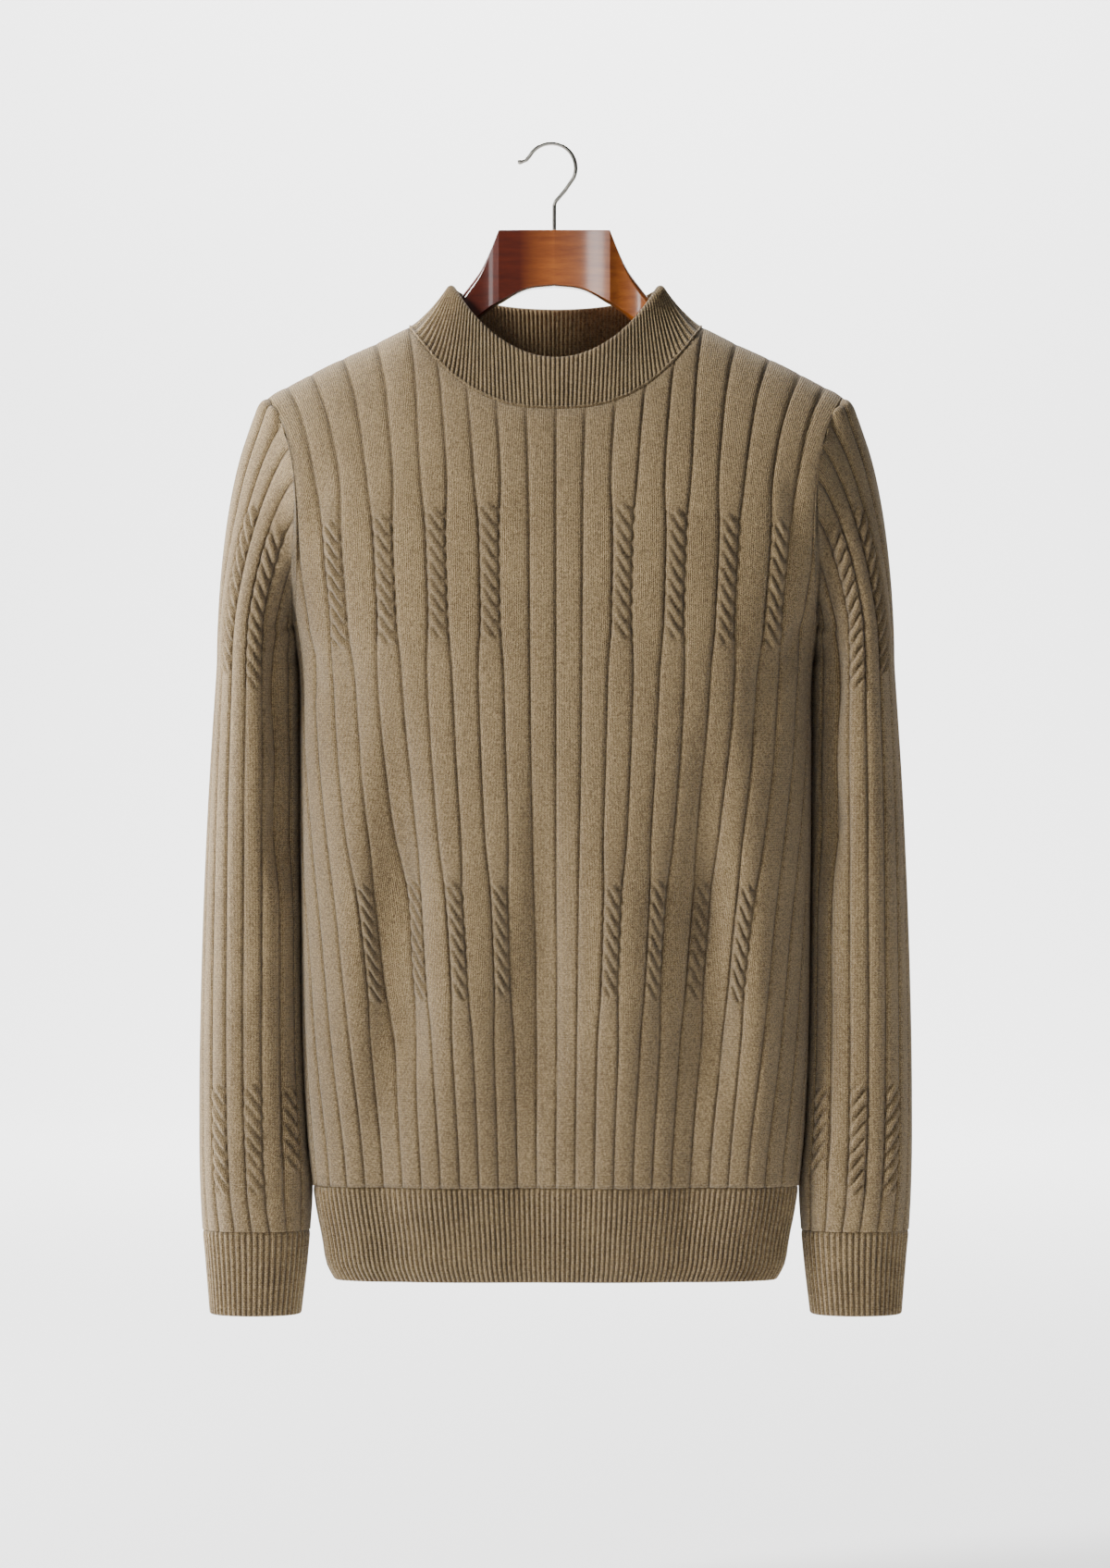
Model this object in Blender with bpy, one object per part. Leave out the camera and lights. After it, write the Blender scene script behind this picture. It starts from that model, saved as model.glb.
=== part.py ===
"""A mock neck sweater in wide ribs with rope cables, hung on a wooden hanger with a bent wire hook.

Metres, +Z up, -Y to the front. The origin is the inside top of the hook, where a rail carries it.
Each knitted piece is a wall of cloth: wales run up it as columns of points, raised on the outside over
a plain inside. Two pieces that are sewn together share the points of their seam, a small gap apart.
"""

import math
from functools import lru_cache

import bpy
import numpy as np

# Driving sizes, in metres
GARMENT_X = 0.0035  # middle plane of the garment
HANGER_X = 0.0025  # middle joint of the hanger, and the hook's stem
SEAM_GAP = 0.0003  # between two pieces of cloth at their seam
WALL = 0.0012  # cloth at the bottom of a groove
RIB_RISE = 0.0008  # a wide rib over its grooves
CABLE_RISE = 0.0018  # the crest of a rope cable over the grooves
CABLE_SINK = 0.0002  # the furrow between two strands, over the grooves
TWIST = 0.0115  # height of one crossing of a cable
FINE_RISE = 0.0007  # a rib of the collar, hem and cuffs over its furrow
EDGE = 0.006  # ribs stop this far from a seam

# Body: wide ribs on each half of a panel, counted from the middle groove to the side seam
HALF_RIBS = 13
NECK_RIB = 5.0  # this groove ends at the neck point
TIP_RIB = 9.15  # this wale ends at the shoulder tip
LAND = 0.16  # part of a rib's width that slopes down into each groove
CABLE_PINCH = 0.13  # how far the grooves of a cable draw in, in ribs
PINCH_SPANS = ((-0.262, -0.362), (-0.520, -0.625))  # top and end of the heights where they do
PINCH_BLEND = 0.008

HEM_SEAM_Z = -0.7487
HEM_END_Z = -0.8167
UNDERARM_Z = -0.352
TIP_X = 0.205
NECK_X = 0.106
NECK_FRONT_Z = -0.194
NECK_BACK_Z = -0.156
SHOULDER_FALL = 0.110  # the drop over which the shoulder rounds off to the full depth
SHOULDER_ROUND = 1.5

# z, half width, front depth, back depth, squareness, from the middle front to the side seam
BODY_SECTIONS = (
    (-0.7487, 0.1740, 0.046, 0.044, 3.0, 0.178),
    (-0.7200, 0.1772, 0.050, 0.047, 3.0, 0.181),
    (-0.6600, 0.1805, 0.056, 0.052, 2.9, 0.190),
    (-0.5600, 0.1822, 0.067, 0.060, 2.8, 0.205),
    (-0.4400, 0.1830, 0.078, 0.069, 2.7, 0.230),
    (-0.3750, 0.1838, 0.082, 0.072, 2.6, 0.239),
    (-0.3520, 0.1875, 0.082, 0.073, 2.6, 0.241),
    (-0.3340, 0.1925, 0.081, 0.073, 2.6, 0.242),
    (-0.3000, 0.2060, 0.079, 0.072, 2.6, 0.245),
    (-0.2600, 0.2260, 0.075, 0.069, 2.6, 0.2483),
    (-0.1900, 0.2950, 0.063, 0.059, 2.6, 0.256),
    (-0.1300, 0.3100, 0.058, 0.054, 2.6, 0.256),
    (-0.0900, 0.3100, 0.054, 0.050, 2.6, 0.256),
)

# distance from the middle plane, height of the shoulder line
SHOULDER_LINE = (
    (0.000, -0.0960),
    (0.045, -0.1030),
    (0.075, -0.1160),
    (0.105, -0.1310),
    (0.132, -0.1445),
    (0.164, -0.1592),
    (0.190, -0.1735),
    (0.205, -0.1840),
    (0.220, -0.2000),
    (0.240, -0.2400),
)

# height, distance from the middle plane
ARMHOLE_LINE = (
    (-0.3520, 0.1875),
    (-0.3440, 0.1862),
    (-0.3300, 0.1845),
    (-0.2950, 0.1838),
    (-0.2600, 0.1842),
    (-0.2280, 0.1880),
    (-0.2050, 0.1945),
    (-0.1840, 0.2050),
)

# Long soft folds of the panels. middle, half width, depth (inwards), top, end, and how far it leans
FRONT_FOLDS = (
    (-0.122, 0.017, 0.0060, -0.400, -0.790, -0.006),
    (-0.080, 0.019, -0.0030, -0.420, -0.790, -0.004),
    (-0.026, 0.019, 0.0050, -0.500, -0.790, 0.004),
    (0.036, 0.023, -0.0035, -0.440, -0.790, 0.006),
    (0.092, 0.018, 0.0060, -0.430, -0.790, 0.008),
    (0.138, 0.017, -0.0030, -0.460, -0.790, 0.006),
)
BACK_FOLDS = (
    (-0.105, 0.020, 0.0055, -0.410, -0.790, -0.008),
    (-0.052, 0.022, -0.0030, -0.440, -0.790, -0.004),
    (0.008, 0.020, 0.0050, -0.480, -0.790, 0.002),
    (0.062, 0.022, -0.0030, -0.450, -0.790, 0.006),
    (0.112, 0.019, 0.0060, -0.400, -0.790, 0.009),
)

# rib, then the top and end of its upper and of its lower cable
FRONT_CABLES = (
    (2, -0.2593, -0.3600, -0.5290, -0.6130),
    (4, -0.2633, -0.3600, -0.5270, -0.6150),
    (6, -0.2670, -0.3633, -0.5280, -0.6170),
    (8, -0.2717, -0.3653, -0.5300, -0.6190),
)

BODY_LEVELS = (-0.680, -0.590, -0.500, -0.415, -0.350, -0.290, -0.245, -0.212)
SHOULDER_ROWS = (0.025, 0.010, 0.0025)

# Sleeve: ribs on each half of the tube, counted from the middle rib of its outer side
SLEEVE_HALF_RIBS = 9
SLEEVE_PITCH = 0.0127
EVEN_RIBS = 6.0  # up to here the ribs keep that pitch, and the rest share what is left
BICEP_Z = -0.375
CUFF_SEAM_Z = -0.7813
CUFF_END_Z = -0.8425
# z, outer side, inner side, half depth, middle in depth
SLEEVE_SECTIONS = (
    (-0.8425, 0.2485, 0.1850, 0.0290, 0.009),
    (-0.8000, 0.2520, 0.1800, 0.0325, 0.009),
    (-0.7813, 0.2540, 0.1782, 0.0355, 0.009),
    (-0.7600, 0.2552, 0.1775, 0.0380, 0.009),
    (-0.7200, 0.2562, 0.1812, 0.0395, 0.008),
    (-0.6600, 0.2560, 0.1845, 0.0405, 0.008),
    (-0.5600, 0.2535, 0.1863, 0.0425, 0.007),
    (-0.4600, 0.2490, 0.1878, 0.0460, 0.006),
    (-0.3750, 0.2437, 0.1905, 0.0500, 0.004),
)
SLEEVE_SQUARENESS = 2.2
CAP_PLACES = 0.19  # height that a wale's places span over the cap
# How a sleeve leaves the armhole. share of the way round to the underarm, how far it turns down, reach
SLEEVE_LEAVES = (
    (0.00, 0.00, 0.0340),
    (0.08, 0.10, 0.0280),
    (0.20, 0.20, 0.0220),
    (0.40, 0.15, 0.0200),
    (0.70, 0.00, 0.0134),
    (1.00, 0.00, 0.0045),
)
# ribs on either side of the sleeve's outer line, then the top and end of the cable
SLEEVE_CABLES = (
    (3, -0.2600, -0.3830),
    (5, -0.2750, -0.3950),
    (3, -0.6730, -0.7560),
    (5, -0.6730, -0.7560),
    (7, -0.6750, -0.7400),
)
SLEEVE_LEVELS = (-0.735, -0.655, -0.575, -0.495, -0.425)

# Fine ribs all round the tubes knitted in single rib
COLLAR_RIBS = 104
HEM_RIBS = 128
CUFF_RIBS = 40
# share of the hem band's height from its seam, width and depth over those at the seam
HEM_TAPER = (
    (0.00, 1.000, 1.00),
    (0.25, 0.984, 0.97),
    (0.55, 0.960, 0.93),
    (0.85, 0.938, 0.90),
    (1.00, 0.905, 0.86),
)
COLLAR_TOP_X = 0.0745
COLLAR_FRONT_Y = -0.046
COLLAR_BACK_Y = 0.044
COLLAR_SIDE_Z = -0.1025
COLLAR_FRONT_DIP = 0.0500
COLLAR_BACK_DIP = 0.0155

# Hanger. from the joint, top, underside, half thickness, set back, rounding of the top, of the underside
ARM_SECTIONS = (
    (0.0000, -0.0613, -0.1025, 0.0120, 0.0000, 0.0012, 0.0012),
    (0.0200, -0.0613, -0.1050, 0.0120, 0.0000, 0.0012, 0.0012),
    (0.0400, -0.0613, -0.1145, 0.0120, 0.0000, 0.0012, 0.0012),
    (0.0450, -0.0730, -0.1180, 0.0110, 0.0010, 0.0030, 0.0020),
    (0.0520, -0.0880, -0.1235, 0.0102, 0.0018, 0.0050, 0.0030),
    (0.0610, -0.1010, -0.1310, 0.0094, 0.0020, 0.0060, 0.0040),
    (0.0700, -0.1120, -0.1380, 0.0086, 0.0012, 0.0070, 0.0050),
    (0.0850, -0.1245, -0.1490, 0.0074, 0.0000, 0.0070, 0.0060),
)
ARM_END = 0.1960
# from the joint, underside, half thickness, set back, rounding of the top, of the underside
ARM_RUN = (
    (0.1040, -0.1620, 0.0056, 0.0000, 0.0056, 0.0056),
    (0.1300, -0.1770, 0.0130, 0.0000, 0.0150, 0.0080),
    (0.1550, -0.1905, 0.0155, 0.0000, 0.0170, 0.0090),
    (0.1780, -0.2010, 0.0165, 0.0000, 0.0180, 0.0095),
    (0.1900, -0.2030, 0.0145, 0.0000, 0.0140, 0.0090),
)
ARM_CLEARANCE = 0.0018

# Hook
WIRE = 0.0014  # radius
HOOK_BEND = 0.0177  # radius of the wire's middle line
HOOK_MIDDLE = (0.0003, -0.0163)
STEM_END_Z = -0.0733
STEM_TOP_Z = -0.0413
BALL = 0.0020
BALL_AT = (-0.0222, -0.0120)
SOCKET = 0.00175  # radius of the hole for the stem
SOCKET_END_Z = -0.0745

TAUPE = (0.305, 0.235, 0.145)
CHERRY = (0.200, 0.045, 0.012)
STEEL = (0.62, 0.60, 0.56)


def unit(vector):
    return vector / np.linalg.norm(vector)


def follow(rows, at):
    """The other columns of a table at a value of its first, on a smooth curve through its rows."""
    knots, values = table_arrays(rows)
    at = min(max(at, knots[0]), knots[-1])
    i = min(int(np.searchsorted(knots, at, side="right")) - 1, len(knots) - 2)
    slopes = table_slopes(rows)
    width = knots[i + 1] - knots[i]
    t = (at - knots[i]) / width
    rise = values[i + 1] - values[i]
    a = slopes[i] * width - rise
    b = rise - slopes[i + 1] * width
    return values[i] + t * rise + t * (1 - t) * ((1 - t) * a + t * b)


@lru_cache(maxsize=None)
def table_arrays(rows):
    table = np.array(rows)
    return table[:, 0], table[:, 1:]


@lru_cache(maxsize=None)
def table_slopes(rows):
    """A slope at each row, flat where the values turn round."""
    knots, values = table_arrays(rows)
    step = np.diff(values, axis=0) / np.diff(knots)[:, None]
    slopes = np.vstack([step[:1], (step[1:] + step[:-1]) / 2, step[-1:]])
    turns = step[1:] * step[:-1] <= 0
    slopes[1:-1][turns] = 0.0
    return slopes


def shoulder_z(x):
    return float(follow(SHOULDER_LINE, abs(x))[0])


@lru_cache(maxsize=None)
def section_arcs(z):
    """Half of a level section of the body: x, depth and distance round, for the front and the back."""
    half_width, front, back, squareness, _ = follow(BODY_SECTIONS, z)
    turn = np.linspace(0, math.pi / 2, 181)
    across = half_width * np.sin(turn) ** (2 / squareness)
    arcs = []
    for depth in (front, back):
        deep = depth * np.cos(turn) ** (2 / squareness)
        steps = np.hypot(np.diff(across), np.diff(deep))
        arcs.append((across, deep, np.concatenate([[0], np.cumsum(steps)])))
    return arcs


def fold_depth(facing, x, z):
    """How far the long folds draw the cloth inwards."""
    depth = 0.0
    for middle, half_width, deep, top, end, lean in FRONT_FOLDS if facing < 0 else BACK_FOLDS:
        down = (top - z) / (top - end)
        if 0 < down < 1:
            strength = math.sin(math.pi * min(0.5, down * 0.9)) ** 1.5
            off = (x - middle - lean * down) / half_width
            depth += deep * strength * math.exp(-off * off)
    return depth


def on_section(facing, side, distance, z):
    """A point of the body, by its distance round from the middle of the panel that faces this way."""
    arcs = section_arcs(round(z, 6))
    own = arcs[0] if facing < 0 else arcs[1]
    far = arcs[1] if facing < 0 else arcs[0]
    quarter = own[2][-1]
    across, deep, round_to = own if distance <= quarter else far
    reach = distance if distance <= quarter else quarter + far[2][-1] - distance
    x = float(np.interp(reach, round_to, across))
    y = float(np.interp(reach, round_to, deep)) * (1 if distance <= quarter else -1)
    drop = min(max((shoulder_z(x) - z) / SHOULDER_FALL, 0), 1)
    y *= math.sqrt(1 - (1 - drop) ** SHOULDER_ROUND)
    middle_weight = max(0.0, 1 - (x / float(across[-1])) ** 6)
    y -= fold_depth(facing, side * x, z) * middle_weight
    return np.array([GARMENT_X + side * x, facing * (y + SEAM_GAP / 2), z])


def panel_edge(facing, rib):
    """Where the wale of this rib number ends: distance from the middle plane, and height."""
    rib = min(abs(rib), HALF_RIBS)
    if rib <= NECK_RIB:
        x = NECK_X * rib / NECK_RIB
        low = NECK_FRONT_Z if facing < 0 else NECK_BACK_Z
        bow = 2.6 if facing < 0 else 2.0
        return x, low + (shoulder_z(NECK_X) - low) * (rib / NECK_RIB) ** bow
    if rib <= TIP_RIB:
        x = NECK_X + (TIP_X - NECK_X) * (rib - NECK_RIB) / (TIP_RIB - NECK_RIB)
        return x, shoulder_z(x)
    down = 1 - (1 - (rib - TIP_RIB) / (HALF_RIBS - TIP_RIB)) ** 1.5
    z = shoulder_z(TIP_X) + (UNDERARM_Z - shoulder_z(TIP_X)) * down
    return float(follow(ARMHOLE_LINE, z)[0]), z


def edge_distance(facing, rib):
    """Distance round the section from the panel's middle to the end of this wale."""
    x, z = panel_edge(facing, rib)
    across, _, round_to = section_arcs(round(z, 6))[0 if facing < 0 else 1]
    return float(np.interp(x, across, round_to))


def seam_distance(facing, z):
    """Distance round from the panel's middle to the side seam, half a gap short of it.

    Over the underarm there is no side seam, and the back's wales go on beside the front's."""
    front = float(follow(BODY_SECTIONS, z)[4])
    if facing < 0:
        return front - SEAM_GAP / 2
    level = min(z, UNDERARM_Z)
    arcs = section_arcs(round(level, 6))
    wider = arcs[0][2][-1] + arcs[1][2][-1] - 2 * float(follow(BODY_SECTIONS, level)[4])
    return front + wider - SEAM_GAP / 2


def cable_share(z):
    """1 beside the cables and 0 away from them."""
    share = 0.0
    for top, end in PINCH_SPANS:
        share += 1 / (1 + math.exp((z - top) / PINCH_BLEND)) - 1 / (1 + math.exp((z - end) / PINCH_BLEND))
    return share


def natural_distance(facing, rib, z):
    """Where the wale would lie if nothing shaped the top of the panel."""
    if facing < 0 and 1.5 < rib < 9.5:
        rib += CABLE_PINCH * math.cos(math.pi * rib) * cable_share(z)
    return seam_distance(facing, z) * rib / HALF_RIBS


@lru_cache(maxsize=None)
def edge_shift(facing, rib):
    """What carries the end of a wale from its natural place to the panel's edge."""
    return edge_distance(facing, rib) - natural_distance(facing, rib, panel_edge(facing, rib)[1])


@lru_cache(maxsize=None)
def body_point(facing, rib, z):
    side = -1 if rib < 0 else 1
    rib = abs(rib)
    below_edge = panel_edge(facing, rib)[1] - z
    draw = max(0.0, 1 - max(below_edge, 0) / 0.11) ** 3
    distance = natural_distance(facing, rib, z) + draw * edge_shift(facing, rib)
    return on_section(facing, side, distance, z)


def body_normal(facing, rib, z):
    """Outward, from two directions along the surface at this place."""
    side = -1 if rib < 0 else 1
    rib = abs(rib)
    step = 0.03
    below = panel_edge(facing, rib)[1] - z
    low, high = max(rib - step, 0.0) if rib > step else -step, min(rib + step, HALF_RIBS)
    across = body_point(facing, high, panel_edge(facing, high)[1] - below) - body_point(
        facing, low, panel_edge(facing, low)[1] - below
    )
    down = body_point(facing, rib, z) - body_point(facing, rib, z - 0.0015)
    normal = unit(np.cross(across, down)) * -facing
    normal[0] *= side
    if rib >= HALF_RIBS - 0.001:
        normal[1] = 0
    if below < 1e-6 and NECK_RIB - 0.001 <= rib <= TIP_RIB + 0.001:
        normal[1] = 0
    return unit(normal)


def armhole_normal(facing, rib, z):
    """The seam's walls are mitred: they lean towards the sleeve's own surface."""
    normal = body_normal(facing, rib, z)
    low = min(max((-0.300 - z) / (-0.300 - UNDERARM_Z), 0), 1)
    if abs(rib) > TIP_RIB + 0.01:
        normal = unit(normal + np.array([0, facing * 0.5 * (1 - low), -1.0 * low]))
    if abs(rib) >= HALF_RIBS - 0.001:
        normal[1] = 0
    return unit(normal)


class Cloth:
    """The points and triangles of one piece."""

    def __init__(self):
        self.points = []
        self.faces = []

    def row(self, points):
        first = len(self.points)
        self.points.extend(tuple(point) for point in points)
        return list(range(first, len(self.points)))

    def stitch(self, left, right, left_at, right_at, inside=False):
        """Triangles between two rows of points whose places along them are rising numbers."""
        i = j = 0
        while i < len(left) - 1 or j < len(right) - 1:
            if j == len(right) - 1:
                take_left = True
            elif i == len(left) - 1:
                take_left = False
            else:
                take_left = left_at[i] + left_at[i + 1] <= right_at[j] + right_at[j + 1]
            third = left[i + 1] if take_left else right[j + 1]
            face = (left[i], right[j], third)
            self.faces.append(face[::-1] if inside else face)
            i, j = (i + 1, j) if take_left else (i, j + 1)

    def ladder(self, left, right, inside=False):
        self.stitch(left, right, range(len(left)), range(len(right)), inside)

    def ring(self, low, high, low_at, high_at, turn, inside=False):
        """The same between two closed rings, low and high, whose places run round once in a turn."""
        low, high = low + low[:1], high + high[:1]
        low_at, high_at = list(low_at) + [low_at[0] + turn], list(high_at) + [high_at[0] + turn]
        self.stitch(high, low, high_at, low_at, inside)

    def finish(self, name, colour, roughness=0.9):
        faces = np.array(self.faces)
        points = np.array(self.points)
        if np.linalg.det(points[faces]).sum() < 0:
            faces = faces[:, ::-1]
        return solid(name, points, faces.tolist(), colour, roughness)


def solid(name, points, faces, colour, roughness, metallic=0.0):
    mesh = bpy.data.meshes.new(name)
    mesh.from_pydata([tuple(map(float, point)) for point in points], [], faces)
    mesh.update()
    piece = bpy.data.objects.new(name, mesh)
    bpy.context.collection.objects.link(piece)
    material = bpy.data.materials.new(name + "_finish")
    material.use_nodes = True
    shader = material.node_tree.nodes["Principled BSDF"]
    shader.inputs["Base Color"].default_value = (*colour, 1)
    shader.inputs["Roughness"].default_value = roughness
    shader.inputs["Metallic"].default_value = metallic
    mesh.materials.append(material)
    mesh.shade_smooth()
    mesh.set_sharp_from_angle(angle=math.radians(38))
    return piece


def cable_rows(top, end):
    """Heights of the rows of a cable, and whether each is a crest at the cable's left edge."""
    count = 2 * round((top - end) / TWIST)
    return [(top + (end - top) * i / count, i % 2 == 1) for i in range(count + 1)]


def cable_rise(crest, middle, at_end):
    """A crest on the cable's edge is a furrow on its middle, because the strands slant."""
    if at_end:
        return RIB_RISE * 0.8
    if middle:
        return CABLE_RISE if not crest else CABLE_SINK + 0.0004
    return CABLE_RISE - 0.0005 if crest else CABLE_SINK


def cloth_column(cloth, place, heights):
    """Adds one wale: place(z) gives a point and its normal, heights are (z, rise) from the bottom up."""
    points = []
    for z, rise in heights:
        point, normal = place(z)
        points.append(point + normal * rise)
    return cloth.row(points)


def ribbed_strips(cloth, columns, cables):
    """Joins the columns of a ribbed surface. columns: (ids, heights); cables: between two columns."""
    for i in range(len(columns) - 1):
        left, left_z = columns[i]
        right, right_z = columns[i + 1]
        if i not in cables:
            cloth.stitch(left, right, left_z, right_z)
            continue
        at_left, at_right = 0, 0
        for rope, rope_z in cables[i]:
            start_left, end_left = left_z.index(rope_z[0]), left_z.index(rope_z[-1])
            start_right, end_right = right_z.index(rope_z[0]), right_z.index(rope_z[-1])
            cloth.stitch(
                left[at_left : start_left + 1], right[at_right : start_right + 1],
                left_z[at_left : start_left + 1], right_z[at_right : start_right + 1],
            )
            cloth.faces.append((left[start_left], right[start_right], rope[0]))
            rope_rows(cloth, left[start_left : end_left + 1], rope)
            rope_rows(cloth, rope, right[start_right : end_right + 1])
            cloth.faces.append((left[end_left], rope[-1], right[end_right]))
            at_left, at_right = end_left, end_right
        cloth.stitch(left[at_left:], right[at_right:], left_z[at_left:], right_z[at_right:])


def rope_rows(cloth, left, right):
    """A ladder whose diagonals run down to the right, as the strands do."""
    for j in range(len(left) - 1):
        cloth.faces.append((left[j], right[j], left[j + 1]))
        cloth.faces.append((right[j], right[j + 1], left[j + 1]))


def rope_column(cloth, place, top, end):
    """The middle line of a cable, with one point for each row of its edges."""
    rows = cable_rows(top, end)[::-1]
    inset = (top - end) * 0.02
    heights = []
    for i, (z, crest) in enumerate(rows):
        at_end = i in (0, len(rows) - 1)
        shift = inset if i == 0 else -inset if i == len(rows) - 1 else 0
        heights.append((z + shift, cable_rise(crest, True, at_end)))
    return cloth_column(cloth, place, heights), [z for z, _ in rows]


def with_cables(levels, zones, rise):
    """Rows of a wale beside its cables: the plain levels outside them, and each cable's own rows."""
    heights = [(z, rise) for z in levels if all(z > top + 0.01 or z < end - 0.01 for top, end in zones)]
    for top, end in zones:
        rows = cable_rows(top, end)
        heights += [
            (z, cable_rise(crest, False, i in (0, len(rows) - 1))) for i, (z, crest) in enumerate(rows)
        ]
    return sorted(heights)


# ---------------------------------------------------------------- front and back


def edge_ribs():
    """Rib numbers of the points along the top edge of half a panel."""
    neck = [NECK_RIB * i / 10 for i in range(11)]
    shoulder = [NECK_RIB + (TIP_RIB - NECK_RIB) * i / 5 for i in range(1, 6)]
    armhole = [
        TIP_RIB + (HALF_RIBS - TIP_RIB) * share
        for share in (0.025, 0.07, 0.13, 0.20, 0.28, 0.37, 0.47, 0.57, 0.68, 0.79, 0.90, 1.0)
    ]
    return neck + shoulder + armhole


def seam_place(facing, rib):
    """A point of the panel's top edge and its normal."""
    z = panel_edge(facing, rib)[1]
    normal = armhole_normal if abs(rib) > TIP_RIB + 0.01 else body_normal
    return body_point(facing, rib, z), normal(facing, rib, z)


def hem_places(facing):
    """Points of the panel's lower edge, from its left seam to its right, with their normals."""
    ribs = [HALF_RIBS * i / 15 for i in range(-15, 16)]
    return ribs, [(body_point(facing, r, HEM_SEAM_Z), body_normal(facing, r, HEM_SEAM_Z)) for r in ribs]


def panel_levels(facing, rib):
    """Heights of a plain wale from just over the hem seam to just under the panel's edge."""
    top = panel_edge(facing, rib)[1]
    on_shoulder = NECK_RIB <= abs(rib) <= TIP_RIB + 0.4
    last = [top - row for row in SHOULDER_ROWS] if on_shoulder else [top - EDGE]
    levels = [z for z in BODY_LEVELS if z < last[0] - 0.014]
    return [HEM_SEAM_Z + EDGE] + levels + last


def panel(name, facing):
    cloth = Cloth()
    ribs = []
    for rib in range(-HALF_RIBS, HALF_RIBS):
        ribs += [(float(rib), 0.0), (rib + LAND, RIB_RISE), (rib + 1 - LAND, RIB_RISE)]
    ribs.append((float(HALF_RIBS), 0.0))
    for extra in (9.32, 9.55):
        ribs += [(extra, RIB_RISE), (-extra, RIB_RISE)]
    ribs.sort()

    zones = {}
    if facing < 0:
        for rib, *heights in FRONT_CABLES:
            zones[rib] = zones[-rib - 1] = ((heights[2], heights[3]), (heights[0], heights[1]))

    columns, cables = [], {}
    for number, (rib, rise) in enumerate(ribs):
        own = zones.get(math.floor(rib), ()) if rise else ()
        heights = with_cables(panel_levels(facing, rib), own, rise)
        place = lambda z, rib=rib: (body_point(facing, rib, z), body_normal(facing, rib, z))
        columns.append((cloth_column(cloth, place, heights), [z for z, _ in heights]))
        if own and rib - math.floor(rib) < 0.5:
            middle = math.floor(rib) + 0.5
            place = lambda z, rib=middle: (body_point(facing, rib, z), body_normal(facing, rib, z))
            cables[number] = [rope_column(cloth, place, top, end) for top, end in own]
    ribbed_strips(cloth, columns, cables)

    inner_ribs = [float(rib) for rib in range(-HALF_RIBS, HALF_RIBS + 1)]
    inner = []
    for rib in inner_ribs:
        heights = [(z, -WALL) for z in panel_levels(facing, rib)]
        place = lambda z, rib=rib: (body_point(facing, rib, z), body_normal(facing, rib, z))
        inner.append((cloth_column(cloth, place, heights), [z for z, _ in heights]))
    for (left, left_z), (right, right_z) in zip(inner, inner[1:]):
        cloth.stitch(left, right, left_z, right_z, inside=True)

    half = edge_ribs()
    top_ribs = [-rib for rib in half[:0:-1]] + half
    top_places = [seam_place(facing, rib) for rib in top_ribs]
    hem_ribs, low_places = hem_places(facing)
    top_out = cloth.row([point for point, _ in top_places])
    top_in = cloth.row([point - normal * WALL for point, normal in top_places])
    low_out = cloth.row([point for point, _ in low_places])
    low_in = cloth.row([point - normal * WALL for point, normal in low_places])

    column_ribs = [rib for rib, _ in ribs]
    cloth.stitch(top_out, [ids[-1] for ids, _ in columns], top_ribs, column_ribs)
    cloth.stitch([ids[0] for ids, _ in columns], low_out, column_ribs, hem_ribs)
    cloth.stitch(top_in, [ids[-1] for ids, _ in inner], top_ribs, inner_ribs, inside=True)
    cloth.stitch([ids[0] for ids, _ in inner], low_in, inner_ribs, hem_ribs, inside=True)
    cloth.ladder(top_in, top_out)
    cloth.ladder(low_out, low_in)
    for side, inside in ((0, True), (-1, False)):
        out = [low_out[side]] + columns[side][0] + [top_out[side]]
        within = [low_in[side]] + inner[side][0] + [top_in[side]]
        cloth.ladder(out, within, inside)
    return cloth.finish(name, TAUPE)


# ---------------------------------------------------------------- tubes


def shared_ring(front, back):
    """One closed ring of (place, point, normal) from the front's and the back's halves of a seam.

    Both run the same way, and where they meet their two end points become one."""

    def between(a, b):
        return a[0], (a[1] + b[1]) / 2, unit(a[2] + b[2])

    back = back[::-1]
    return [between(front[0], back[-1])] + front[1:-1] + [between(front[-1], back[0])] + back[1:-1]


def ring_away(ring, towards):
    """The direction across a seam at each of its points, to the side that towards(point) points to."""
    away = []
    for i, (_, point, normal) in enumerate(ring):
        along = ring[(i + 1) % len(ring)][1] - ring[i - 1][1]
        across = unit(np.cross(unit(along), normal))
        away.append(across if np.dot(across, towards(point)) > 0 else -across)
    return away


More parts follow.
